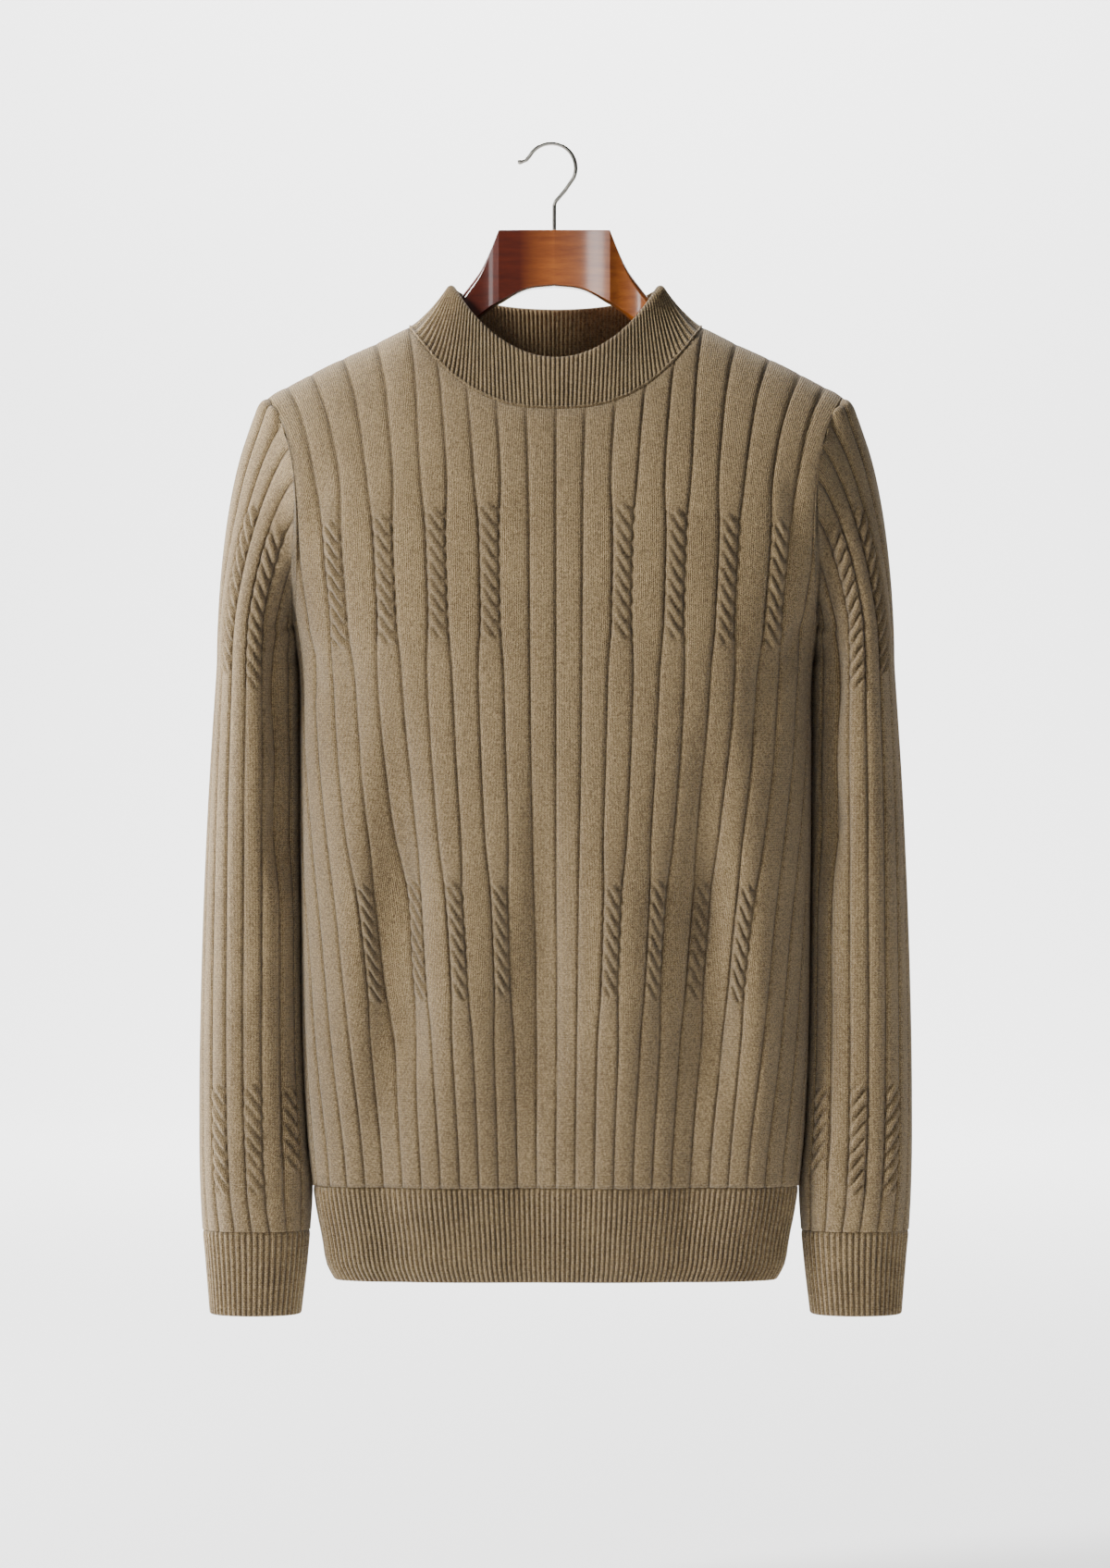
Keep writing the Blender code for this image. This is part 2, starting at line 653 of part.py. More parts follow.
def fine_ribbed(name, ribs, surface, ring_at, seam_ring, outside_seam, end_share, rows):
    """A tube in single rib between a shared seam and its free edge.

    surface(turn, share) gives a point and normal: turn from 0 to 1 round it, share from 0 at the seam
    to 1 at the free edge. rows are the shares of the outer rows, and end_share that of the inner edge."""
    cloth = Cloth()
    turns = [i / (2 * ribs) for i in range(2 * ribs)]
    levels = []
    for share in rows:
        points = []
        for i, turn in enumerate(turns):
            point, normal = surface(turn, share)
            points.append(point + normal * (FINE_RISE if i % 2 else 0.0))
        levels.append(cloth.row(points))
    seam_out = cloth.row([p + a * SEAM_GAP for (_, p, _), a in zip(seam_ring, outside_seam)])
    seam_in = cloth.row(
        [p + a * SEAM_GAP - n * WALL for (_, p, n), a in zip(seam_ring, outside_seam)]
    )
    inner_levels = []
    for share in (0.5, end_share):
        places = [surface(turn, share) for turn in ring_at]
        inner_levels.append(cloth.row([point - normal * WALL for point, normal in places]))
    cloth.ring(seam_out, levels[0], ring_at, turns, 1)
    for low, high in zip(levels, levels[1:]):
        cloth.ring(low, high, turns, turns, 1)
    cloth.ring(levels[-1], inner_levels[-1], turns, ring_at, 1)
    cloth.ring(seam_in, inner_levels[0], ring_at, ring_at, 1, inside=True)
    cloth.ring(inner_levels[0], inner_levels[1], ring_at, ring_at, 1, inside=True)
    cloth.ring(seam_in, seam_out, ring_at, ring_at, 1)
    return cloth.finish(name, TAUPE)


def surface_normal(surface, turn, share, outward):
    """From two directions along surface(turn, share)."""
    step = 0.004
    around = surface(turn + step, share) - surface(turn - step, share)
    up = surface(turn, share + 0.01) - surface(turn, share - 0.01)
    normal = unit(np.cross(around, up))
    return normal if np.dot(normal, outward) > 0 else -normal


def ring_point(ring, ring_at, turn):
    """A point on the straight runs of a closed ring."""
    turn = turn % 1.0
    places = list(ring_at) + [1.0]
    i = int(np.searchsorted(places, turn, side="right")) - 1
    share = (turn - places[i]) / (places[i + 1] - places[i])
    return ring[i][1] * (1 - share) + ring[(i + 1) % len(ring)][1] * share


def collar():
    """Stands on the neck seam and leans in. A turn starts at the middle front, to the wearer's left."""
    ribs = [NECK_RIB * i / 10 for i in range(11)]
    front = [(None, *seam_place(-1, rib)) for rib in ribs]
    back = [(None, *seam_place(1, rib)) for rib in ribs]
    left_front = [(None, *seam_place(-1, -rib)) for rib in ribs]
    left_back = [(None, *seam_place(1, -rib)) for rib in ribs]
    neck_right = (None, (front[-1][1] + back[-1][1]) / 2, unit(front[-1][2] + back[-1][2]))
    neck_left = (
        None,
        (left_front[-1][1] + left_back[-1][1]) / 2,
        unit(left_front[-1][2] + left_back[-1][2]),
    )
    right_half = front[:-1] + [neck_right] + back[:-1][::-1]
    ring = right_half + left_back[1:-1] + [neck_left] + left_front[1:-1][::-1]
    ring_at = [i / len(ring) for i in range(len(ring))]
    middle = np.array([GARMENT_X, 0, -0.14])
    away = ring_away(ring, lambda point: np.array([middle[0] - point[0], -point[1], 0.10]))

    def surface(turn, share):
        low = ring_point(ring, ring_at, turn)
        angle = 2 * math.pi * turn
        forward = math.cos(angle)
        if forward > 0:
            y, dip = COLLAR_FRONT_Y * forward, COLLAR_FRONT_DIP * forward**1.8
        else:
            y, dip = COLLAR_BACK_Y * -forward, COLLAR_BACK_DIP * -forward
        high = np.array([GARMENT_X + COLLAR_TOP_X * math.sin(angle), y, COLLAR_SIDE_Z - dip])
        side = abs(math.sin(angle))
        sag = np.array([0, 0, -0.004 * side * 4 * share * (1 - share)])
        return low * (1 - share) + high * share + sag

    def placed(turn, share):
        point = surface(turn, share)
        outward = np.array([point[0] - middle[0], point[1], 0.02])
        return point, surface_normal(surface, turn, share, outward)

    return fine_ribbed("collar", COLLAR_RIBS, placed, ring_at, ring, away, 0.985, (0.10, 0.55, 1.0))


def hem():
    """Turns start at the right side seam and run by the front to the left."""
    half = [HALF_RIBS * (15 - i) / 15 for i in range(31)]
    front = [(None, body_point(-1, r, HEM_SEAM_Z), body_normal(-1, r, HEM_SEAM_Z)) for r in half]
    back = [(None, body_point(1, r, HEM_SEAM_Z), body_normal(1, r, HEM_SEAM_Z)) for r in half]
    ring = shared_ring(front, back)
    ring_at = [i / len(ring) for i in range(len(ring))]
    away = ring_away(ring, lambda point: np.array([0, 0, -1.0]))

    def surface(turn, share):
        low = ring_point(ring, ring_at, turn)
        wide, deep = follow(HEM_TAPER, share)
        drop = (HEM_SEAM_Z - HEM_END_Z) * share
        fold = fold_depth(-1, low[0] - GARMENT_X, low[2]) if low[1] < -0.02 else 0.0
        y = (low[1] - fold) * deep + fold * (1 - 0.6 * share)
        return np.array([GARMENT_X + (low[0] - GARMENT_X) * wide, y, low[2] - drop])

    def placed(turn, share):
        point = surface(turn, share)
        return point, surface_normal(surface, turn, share, np.array([point[0] - GARMENT_X, point[1] * 4, 0]))

    return fine_ribbed("hem_rib", HEM_RIBS, placed, ring_at, ring, away, 0.995, (0.09, 0.5, 0.93))


# ---------------------------------------------------------------- sleeves


@lru_cache(maxsize=None)
def sleeve_arc(z):
    """Half of a level section of the sleeve from its outer side: x, depth and distance round."""
    outer, inner, half_depth, _ = follow(SLEEVE_SECTIONS, z)
    turn = np.linspace(0, math.pi, 241)
    power = 2 / SLEEVE_SQUARENESS
    cosine = np.cos(turn)
    across = (outer + inner) / 2 + (outer - inner) / 2 * np.sign(cosine) * np.abs(cosine) ** power
    deep = half_depth * np.sin(turn) ** power
    steps = np.hypot(np.diff(across), np.diff(deep))
    return across, deep, np.concatenate([[0], np.cumsum(steps)])


def sleeve_section(side, rib, z):
    """A point of the sleeve below the upper arm. A positive rib lies to the front."""
    across, deep, round_to = sleeve_arc(round(z, 6))
    number = abs(rib)
    even = min(number, EVEN_RIBS) * SLEEVE_PITCH
    rest = max(number - EVEN_RIBS, 0) / (SLEEVE_HALF_RIBS - EVEN_RIBS)
    distance = even + rest * (round_to[-1] - EVEN_RIBS * SLEEVE_PITCH)
    x = float(np.interp(distance, round_to, across))
    y = float(np.interp(distance, round_to, deep))
    middle = float(follow(SLEEVE_SECTIONS, z)[3])
    return np.array([GARMENT_X + side * x, middle - math.copysign(y, rib), z])


class Sleeve:
    """The form of one sleeve: a cap that leaves the armhole and turns down, then a straight arm."""

    def __init__(self, side):
        self.side = side
        ribs = [TIP_RIB] + [rib for rib in edge_ribs() if rib > TIP_RIB + 0.01]
        front = [(None, *self.edge(-1, rib)) for rib in ribs]
        back = [(None, *self.edge(1, rib)) for rib in ribs]
        for way in (front, back):
            reach = [0.0]
            for a, b in zip(way, way[1:]):
                reach.append(reach[-1] + np.linalg.norm(b[1] - a[1]))
            sign = 1 if way is front else -1
            for i, row in enumerate(way):
                number = SLEEVE_HALF_RIBS * (reach[i] / reach[-1]) ** (1 / 1.36)
                way[i] = (sign * number, row[1], row[2])
        self.ring = shared_ring(front, back)
        self.ring[0] = (0.0, *self.ring[0][1:])
        self.away = ring_away(self.ring, lambda point: np.array([side, 0, 0.8]))
        order = sorted(range(len(self.ring)), key=lambda i: self.ring[i][0])
        self.at = np.array([self.ring[i][0] for i in order])
        self.starts = np.array([self.ring[i][1] for i in order])
        self.aways = np.array([self.away[i] for i in order])
        self.normals = np.array([self.ring[i][2] for i in order])

    def edge(self, facing, rib):
        z = panel_edge(facing, rib)[1]
        return body_point(facing, self.side * rib, z), armhole_normal(facing, self.side * rib, z)

    def on_ring(self, rib, rows):
        """A value of the armhole seam at a rib, the underarm being both ends."""
        at = np.concatenate([[self.at[-1] - 2 * SLEEVE_HALF_RIBS], self.at])
        rows = np.concatenate([rows[-1:], rows])
        return np.array([np.interp(rib, at, rows[:, k]) for k in range(3)])

    @lru_cache(maxsize=None)
    def point(self, rib, share):
        """share runs from 0 at the armhole to 1 at the upper arm, and on to 2 at the cuff."""
        if share > 1:
            return sleeve_section(self.side, rib, BICEP_Z + (CUFF_SEAM_Z - BICEP_Z) * (share - 1))
        low = abs(rib) / SLEEVE_HALF_RIBS
        start = self.on_ring(rib, self.starts) + self.on_ring(rib, self.aways) * SEAM_GAP
        fall, reach = follow(SLEEVE_LEAVES, low)
        lead = unit(self.on_ring(rib, self.aways) - np.array([0, 0, fall])) * reach
        end = sleeve_section(self.side, rib, BICEP_Z)
        rise = np.array([0, 0, 0.42 * (start[2] - end[2])])
        a, b, c = (1 - share) ** 3, 3 * share * (1 - share) ** 2, 3 * share**2 * (1 - share)
        return a * start + b * (start + lead) + c * (end + rise) + share**3 * end

    def normal(self, rib, share):
        step = 0.05
        around = self.point(rib + step, share) - self.point(rib - step, share)
        down = self.point(rib, min(share + 0.01, 2)) - self.point(rib, max(share - 0.01, 0))
        normal = unit(np.cross(around, down))
        return normal * self.side

    @lru_cache(maxsize=None)
    def share_at(self, rib, z):
        if z <= BICEP_Z:
            return 1 + (BICEP_Z - z) / (BICEP_Z - CUFF_SEAM_Z)
        shares = np.linspace(0, 1, 81)
        heights = [self.point(rib, share)[2] for share in shares]
        return float(np.interp(-z, [-height for height in heights], shares))

    def place(self, rib, z):
        share = self.share_at(rib, z)
        return self.point(rib, share), self.normal(rib, share)

    def cap_place(self, rib, z):
        """A height, or over the upper arm the share of the cap as if it were one."""
        return z if z <= BICEP_Z else BICEP_Z + (1 - self.share_at(rib, z)) * CAP_PLACES

    def cap_shares(self, rib):
        return (0.05, 0.16, 0.30, 0.48, 0.72) if abs(rib) < 6.2 else (0.12, 0.35, 0.65)


def cuff_ring(side):
    """The seam between sleeve and cuff."""
    count = 24
    ring = []
    for i in range(count):
        rib = 2 * SLEEVE_HALF_RIBS * i / count - SLEEVE_HALF_RIBS
        point = sleeve_section(side, rib, CUFF_SEAM_Z)
        middle = sleeve_section(side, 0.0, CUFF_SEAM_Z) + sleeve_section(side, 9.0, CUFF_SEAM_Z)
        ring.append((rib, point, unit(point - middle / 2)))
    return ring


def sleeve(name, side):
    form = Sleeve(side)
    cloth = Cloth()
    numbers = []
    for k in range(-SLEEVE_HALF_RIBS, SLEEVE_HALF_RIBS):
        groove = k + 0.5
        numbers += [(groove, 0.0), (groove + LAND, RIB_RISE), (groove + 1 - LAND, RIB_RISE)]
    numbers = sorted((((n + 9) % 18) - 9, rise) for n, rise in numbers)

    zones = {}
    for rib, top, end in SLEEVE_CABLES:
        for number in (rib, -rib):
            zones[number] = [(top, end)] + zones.get(number, [])

    columns, cables = [], {}
    for index, (rib, rise) in enumerate(numbers):
        own = zones.get(round(rib), []) if rise else []
        cap = [form.point(rib, share)[2] for share in form.cap_shares(rib)]
        levels = [CUFF_SEAM_Z + EDGE, *SLEEVE_LEVELS, BICEP_Z]
        if own:
            heights = with_cables(levels + cap[::-1], own, rise)
        else:
            heights = [(z, rise) for z in levels]
        points = [form.point(rib, form.share_at(rib, z)) + form.place(rib, z)[1] * h for z, h in heights]
        places = [z for z, _ in heights]
        if not own:
            for share in form.cap_shares(rib)[::-1]:
                fade = 1.0 if abs(rib) < 7.5 else 0.25
                points.append(form.point(rib, share) + form.normal(rib, share) * rise * fade)
                places.append(BICEP_Z + (1 - share) * CAP_PLACES)
        else:
            places = [form.cap_place(rib, z) for z in places]
        columns.append((cloth.row(points), places))
        if own and rib < round(rib):
            middle = float(round(rib))
            ropes = []
            for top, end in sorted(own):
                ids, rows = rope_column(cloth, lambda z, rib=middle: form.place(rib, z), top, end)
                ropes.append((ids, (top, end)))
            cables[index] = ropes
    sleeve_strips(cloth, columns, cables, form, numbers)

    inner_numbers = [float(n) for n in range(-SLEEVE_HALF_RIBS, SLEEVE_HALF_RIBS)]
    inner = []
    for rib in inner_numbers:
        shares = [form.share_at(rib, z) for z in (CUFF_SEAM_Z + EDGE, *SLEEVE_LEVELS, BICEP_Z)]
        shares += list(form.cap_shares(rib)[::-1])
        points = [form.point(rib, share) - form.normal(rib, share) * WALL for share in shares]
        places = [-share for share in shares]
        inner.append((cloth.row(points), places))
    closed = inner + inner[:1]
    for (left, left_at), (right, right_at) in zip(closed, closed[1:]):
        cloth.stitch(left, right, left_at, right_at, inside=True)

    order = sorted(range(len(form.ring)), key=lambda i: form.ring[i][0])
    armhole = [form.ring[i] for i in order]
    away = [form.away[i] for i in order]
    armhole_at = [row[0] for row in armhole]
    top_out = cloth.row([p + a * SEAM_GAP for (_, p, _), a in zip(armhole, away)])
    top_in = cloth.row([p + a * SEAM_GAP - n * WALL for (_, p, n), a in zip(armhole, away)])
    cuff = cuff_ring(side)
    cuff_at = [row[0] for row in cuff]
    low_out = cloth.row([point for _, point, _ in cuff])
    low_in = cloth.row([point - normal * WALL for _, point, normal in cuff])

    turn = 2 * SLEEVE_HALF_RIBS
    column_at = [rib for rib, _ in numbers]
    cloth.ring([ids[-1] for ids, _ in columns], top_out, column_at, armhole_at, turn)
    cloth.ring(low_out, [ids[0] for ids, _ in columns], cuff_at, column_at, turn)
    cloth.ring([ids[-1] for ids, _ in inner], top_in, inner_numbers, armhole_at, turn, inside=True)
    cloth.ring(low_in, [ids[0] for ids, _ in inner], cuff_at, inner_numbers, turn, inside=True)
    cloth.ring(top_out, top_in, armhole_at, armhole_at, turn)
    cloth.ring(low_in, low_out, cuff_at, cuff_at, turn)
    return cloth.finish(name, TAUPE)


def sleeve_strips(cloth, columns, cables, form, numbers):
    """As ribbed_strips, round the tube, with the cables' ends found by their height."""
    closed = columns + columns[:1]
    for i in range(len(columns)):
        left, left_at = closed[i]
        right, right_at = closed[i + 1]
        if i not in cables:
            cloth.stitch(left, right, left_at, right_at)
            continue
        at = 0
        for rope, (top, end) in cables[i]:
            start = nearest_row(form, numbers[i][0], left_at, end)
            stop = start + len(rope) - 1
            cloth.ladder(left[at : start + 1], right[at : start + 1])
            cloth.faces.append((left[start], right[start], rope[0]))
            rope_rows(cloth, left[start : stop + 1], rope)
            rope_rows(cloth, rope, right[start : stop + 1])
            cloth.faces.append((left[stop], rope[-1], right[stop]))
            at = stop
        cloth.ladder(left[at:], right[at:])


def nearest_row(form, rib, places, z):
    return int(np.argmin(np.abs(np.array(places) - form.cap_place(rib, z))))


def cuff(name, side):
    ring = cuff_ring(side)
    ring_at = [i / len(ring) for i in range(len(ring))]
    away = [np.array([0, 0, -1.0])] * len(ring)

    def surface(turn, share):
        low = ring_point(ring, ring_at, turn)
        from_middle = low - cuff_middle(side, CUFF_SEAM_Z)
        z = CUFF_SEAM_Z + (CUFF_END_Z - CUFF_SEAM_Z) * share
        outer, inner, half_depth, _ = follow(SLEEVE_SECTIONS, z)
        outer_0, inner_0, half_depth_0, _ = follow(SLEEVE_SECTIONS, CUFF_SEAM_Z)
        wide, deep = (outer - inner) / (outer_0 - inner_0), half_depth / half_depth_0
        x, y, _ = cuff_middle(side, z)
        return np.array([x + from_middle[0] * wide, y + from_middle[1] * deep, low[2] - (CUFF_SEAM_Z - z)])

    def placed(turn, share):
        point = surface(turn, share)
        outward = point - cuff_middle(side, CUFF_SEAM_Z)
        outward[2] = 0
        return point, surface_normal(surface, turn, share, outward)

    return fine_ribbed(name, CUFF_RIBS, placed, ring_at, ring, away, 0.99, (0.09, 0.94))


def cuff_middle(side, z):
    outer, inner, _, middle = follow(SLEEVE_SECTIONS, z)
    return np.array([GARMENT_X + side * (outer + inner) / 2, middle, z])


# ---------------------------------------------------------------- hanger and hook


def arm_rows():
    """Sections of one arm: the shaped neck of the hanger, then the run under the shoulder."""
    rows = list(ARM_SECTIONS)
    for x, low, half, back, top_round, low_round in ARM_RUN:
        top = shoulder_z(x + HANGER_X - GARMENT_X) - WALL - ARM_CLEARANCE
        top = min(top, shoulder_z(x + GARMENT_X - HANGER_X) - WALL - ARM_CLEARANCE)
        rows.append((x, top, low, half, back, top_round, low_round))
    return rows


def hanger_half(name, side):
    cloth = Cloth()
    rings = []
    for x, top, low, half, back, top_round, low_round in arm_rows():
        x = max(x, SEAM_GAP / 2)
        rings.append(cloth.row(arm_section(side, x, top, low, half, back, top_round, low_round)))
    x, top, low, half, back, top_round, low_round = arm_rows()[-1]
    drop = (top - low) * 0.22
    rings.append(
        cloth.row(arm_section(side, ARM_END, top - drop, low + drop, half * 0.6, back, 0.008, 0.006))
    )
    for a, b in zip(rings, rings[1:]):
        cloth.ladder(a + a[:1], b + b[:1])
    for i in range(1, len(rings[0]) - 1):
        cloth.faces.append((rings[0][0], rings[0][i], rings[0][i + 1]))
        cloth.faces.append((rings[-1][0], rings[-1][i + 1], rings[-1][i]))
    piece = cloth.finish(name, CHERRY, 0.15)
    bore(piece)
    return piece


def arm_section(side, x, top, low, half, back, top_round, low_round):
    """A closed outline across an arm, domed above and below."""
    points = []
    for i in range(7):
        angle = math.pi * i / 6
        y = back + half * math.cos(angle)
        points.append((HANGER_X + side * x, y, top - top_round + top_round * math.sin(angle)))
    for i in range(7):
        angle = math.pi * i / 6
        y = back - half * math.cos(angle)
        points.append((HANGER_X + side * x, y, low + low_round - low_round * math.sin(angle)))
    return points


def bore(piece):
    """Half of the stem's hole, cut from the joint face."""
    bpy.ops.mesh.primitive_cylinder_add(
        vertices=12, radius=SOCKET, depth=0.06, location=(HANGER_X, 0, SOCKET_END_Z + 0.03)
    )
    cutter = bpy.context.object
    cutter.name = "cut_" + piece.name
    cutter.hide_render = True
    cutter.display_type = "WIRE"
    cut = piece.modifiers.new("stem_hole", "BOOLEAN")
    cut.object = cutter
    cut.operation = "DIFFERENCE"


def hook_route():
    """The middle line of the wire, as (x, z, radius), from inside the wood to the ball at its end."""
    x0, z0 = HOOK_MIDDLE
    start, stop = math.radians(-24), math.radians(152)
    route = [(HANGER_X, STEM_END_Z, WIRE), (HANGER_X, -0.056, WIRE), (HANGER_X, STEM_TOP_Z - 0.002, WIRE)]
    route.append((HANGER_X + 0.0010, STEM_TOP_Z + 0.0008, WIRE))
    bend_start = (x0 + HOOK_BEND * math.cos(start), z0 + HOOK_BEND * math.sin(start))
    route.append(((HANGER_X + bend_start[0]) / 2 + 0.0006, (STEM_TOP_Z + bend_start[1]) / 2 - 0.0004, WIRE))
    for i in range(17):
        angle = start + (stop - start) * i / 16
        route.append((x0 + HOOK_BEND * math.cos(angle), z0 + HOOK_BEND * math.sin(angle), WIRE))
    route.append((-0.0178, -0.0108, WIRE))
    bx, bz = BALL_AT
    route.append((bx + BALL * 0.9, bz + 0.0003, WIRE))
    for share in (0.55, 0.0, -0.55, -0.88):
        route.append((bx + BALL * share, bz, BALL * math.sqrt(1 - share * share)))
    return route


def hook():
    cloth = Cloth()
    route = hook_route()
    rings = []
    sides = 8
    for i, (x, z, radius) in enumerate(route):
        before, after = route[max(i - 1, 0)], route[min(i + 1, len(route) - 1)]
        along = unit(np.array([after[0] - before[0], after[1] - before[1]]))
        points = []
        for k in range(sides):
            angle = 2 * math.pi * k / sides
            out = radius * math.cos(angle)
            points.append((x - along[1] * out, radius * math.sin(angle), z + along[0] * out))
        rings.append(cloth.row(points))
    for a, b in zip(rings, rings[1:]):
        cloth.ladder(a + a[:1], b + b[:1])
    for i in range(1, sides - 1):
        cloth.faces.append((rings[0][0], rings[0][i], rings[0][i + 1]))
        cloth.faces.append((rings[-1][0], rings[-1][i + 1], rings[-1][i]))
    piece = cloth.finish("hook", STEEL, 0.2)
    piece.data.materials[0].node_tree.nodes["Principled BSDF"].inputs["Metallic"].default_value = 1.0
    return piece


def main():
    for item in list(bpy.data.objects):
        bpy.data.objects.remove(item)
    panel("front", -1)
    panel("back", 1)
    sleeve("sleeve_left", -1)
    sleeve("sleeve_right", 1)
    collar()
    hem()
    cuff("cuff_left", -1)
    cuff("cuff_right", 1)
    hanger_half("hanger_left", -1)
    hanger_half("hanger_right", 1)
    hook()


main()
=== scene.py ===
"""Looks for the mock neck sweater on its hanger: knitted cloth, lacquered wood and bright wire.

Each knitted piece is a fine shell on the form of its solid. Its wales run up it, with the ribs, the rope
cables and the creases raised in the mesh, and the stitches and the fuzz of the yarn in the material.
"""

import math
from functools import lru_cache

import bpy
import numpy as np
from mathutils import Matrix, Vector


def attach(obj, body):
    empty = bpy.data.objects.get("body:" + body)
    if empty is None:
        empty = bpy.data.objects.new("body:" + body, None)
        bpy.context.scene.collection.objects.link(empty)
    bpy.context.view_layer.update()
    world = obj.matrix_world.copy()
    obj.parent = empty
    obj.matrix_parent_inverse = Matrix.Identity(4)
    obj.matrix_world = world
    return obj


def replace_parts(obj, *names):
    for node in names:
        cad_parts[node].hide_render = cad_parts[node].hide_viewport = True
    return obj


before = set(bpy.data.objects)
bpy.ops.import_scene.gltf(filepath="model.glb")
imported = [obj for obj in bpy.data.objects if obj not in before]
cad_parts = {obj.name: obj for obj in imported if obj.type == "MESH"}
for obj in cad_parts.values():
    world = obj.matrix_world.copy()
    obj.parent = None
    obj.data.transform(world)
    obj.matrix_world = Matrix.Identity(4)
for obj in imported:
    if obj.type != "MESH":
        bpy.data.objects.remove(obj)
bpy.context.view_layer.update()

# Driving sizes, in metres
GARMENT_X = 0.0035  # middle plane of the garment
HANGER_X = 0.0025  # middle joint of the hanger, and the hook's stem
SEAM_GAP = 0.00004  # between two pieces of cloth, closer than in the solids: the stitches join them
WALL = 0.0012  # cloth at the bottom of a groove
TWIST = 0.0115  # height of one crossing of a cable
COURSE = 0.0016  # height of one row of stitches
INNER_STEP = 12  # rows of a wide-ribbed piece's outer face for each row of its inner face
INNER_SHADE = 0.25  # painted shade of the inner face, as a share of the painted shade in a groove

# Body: wide ribs on each half of a panel, counted from the middle groove to the side seam
HALF_RIBS = 13
NECK_RIB = 5.0  # this groove ends at the neck point
TIP_RIB = 9.15  # this wale ends at the shoulder tip
RIB_WIDTH = 0.0165
RIB_WALES = 9  # stitches across a rib
CABLE_PINCH = 0.13  # how far the grooves of a cable draw in, in ribs
PINCH_SPANS = ((-0.262, -0.362), (-0.520, -0.625))  # top and end of the heights where they do
PINCH_BLEND = 0.008

HEM_SEAM_Z = -0.7487
HEM_END_Z = -0.8167
UNDERARM_Z = -0.352
TIP_X = 0.205
NECK_X = 0.106
NECK_FRONT_Z = -0.194
NECK_BACK_Z = -0.156
SHOULDER_FALL = 0.110  # the drop over which the shoulder rounds off to the full depth
SHOULDER_ROUND = 1.5

# z, half width, front depth, back depth, squareness, from the middle front to the side seam
BODY_SECTIONS = (
    (-0.7487, 0.1740, 0.046, 0.044, 3.0, 0.178),
    (-0.7200, 0.1772, 0.050, 0.047, 3.0, 0.181),
    (-0.6600, 0.1805, 0.056, 0.052, 2.9, 0.190),
    (-0.5600, 0.1822, 0.067, 0.060, 2.8, 0.205),
    (-0.4400, 0.1830, 0.078, 0.069, 2.7, 0.230),
    (-0.3750, 0.1838, 0.082, 0.072, 2.6, 0.239),
    (-0.3520, 0.1875, 0.082, 0.073, 2.6, 0.241),
    (-0.3340, 0.1925, 0.081, 0.073, 2.6, 0.242),
    (-0.3000, 0.2060, 0.079, 0.072, 2.6, 0.245),
    (-0.2600, 0.2260, 0.075, 0.069, 2.6, 0.2483),
    (-0.1900, 0.2950, 0.063, 0.059, 2.6, 0.256),
    (-0.1300, 0.3100, 0.058, 0.054, 2.6, 0.256),
    (-0.0900, 0.3100, 0.054, 0.050, 2.6, 0.256),
)

# distance from the middle plane, height of the shoulder line
SHOULDER_LINE = (
    (0.000, -0.0960),
    (0.045, -0.1030),
    (0.075, -0.1160),
    (0.105, -0.1310),
    (0.132, -0.1445),
    (0.164, -0.1592),
    (0.190, -0.1735),
    (0.205, -0.1840),
    (0.220, -0.2000),
    (0.240, -0.2400),
)

# height, distance from the middle plane
ARMHOLE_LINE = (
    (-0.3520, 0.1875),
    (-0.3440, 0.1862),
    (-0.3300, 0.1845),
    (-0.2950, 0.1838),
    (-0.2600, 0.1842),
    (-0.2280, 0.1880),
    (-0.2050, 0.1945),
    (-0.1840, 0.2050),
)

# Long soft folds of the panels. middle, half width, depth (inwards), top, end, and how far it leans
FRONT_FOLDS = (
    (-0.122, 0.017, 0.0060, -0.400, -0.790, -0.006),
    (-0.080, 0.019, -0.0030, -0.420, -0.790, -0.004),
    (-0.026, 0.019, 0.0050, -0.500, -0.790, 0.004),
    (0.036, 0.023, -0.0035, -0.440, -0.790, 0.006),
    (0.092, 0.018, 0.0060, -0.430, -0.790, 0.008),
    (0.138, 0.017, -0.0030, -0.460, -0.790, 0.006),
)
BACK_FOLDS = (
    (-0.105, 0.020, 0.0055, -0.410, -0.790, -0.008),
    (-0.052, 0.022, -0.0030, -0.440, -0.790, -0.004),
    (0.008, 0.020, 0.0050, -0.480, -0.790, 0.002),
    (0.062, 0.022, -0.0030, -0.450, -0.790, 0.006),
    (0.112, 0.019, 0.0060, -0.400, -0.790, 0.009),
)

# rib, then the top and end of its upper and of its lower cable
FRONT_CABLES = (
    (2, -0.2593, -0.3600, -0.5290, -0.6130),
    (4, -0.2633, -0.3600, -0.5270, -0.6150),
    (6, -0.2670, -0.3633, -0.5280, -0.6170),
    (8, -0.2717, -0.3653, -0.5300, -0.6190),
)

# Sleeve: ribs on each half of the tube, counted from the middle rib of its outer side
SLEEVE_HALF_RIBS = 9
SLEEVE_PITCH = 0.0127  # distance round from rib to rib
SLEEVE_RIB_WIDTH = 0.0125
SLEEVE_RIB_WALES = 7
EVEN_RIBS = 6.0  # up to here the ribs keep that pitch, and the rest share what is left
BICEP_Z = -0.375
CUFF_SEAM_Z = -0.7813
CUFF_END_Z = -0.8425
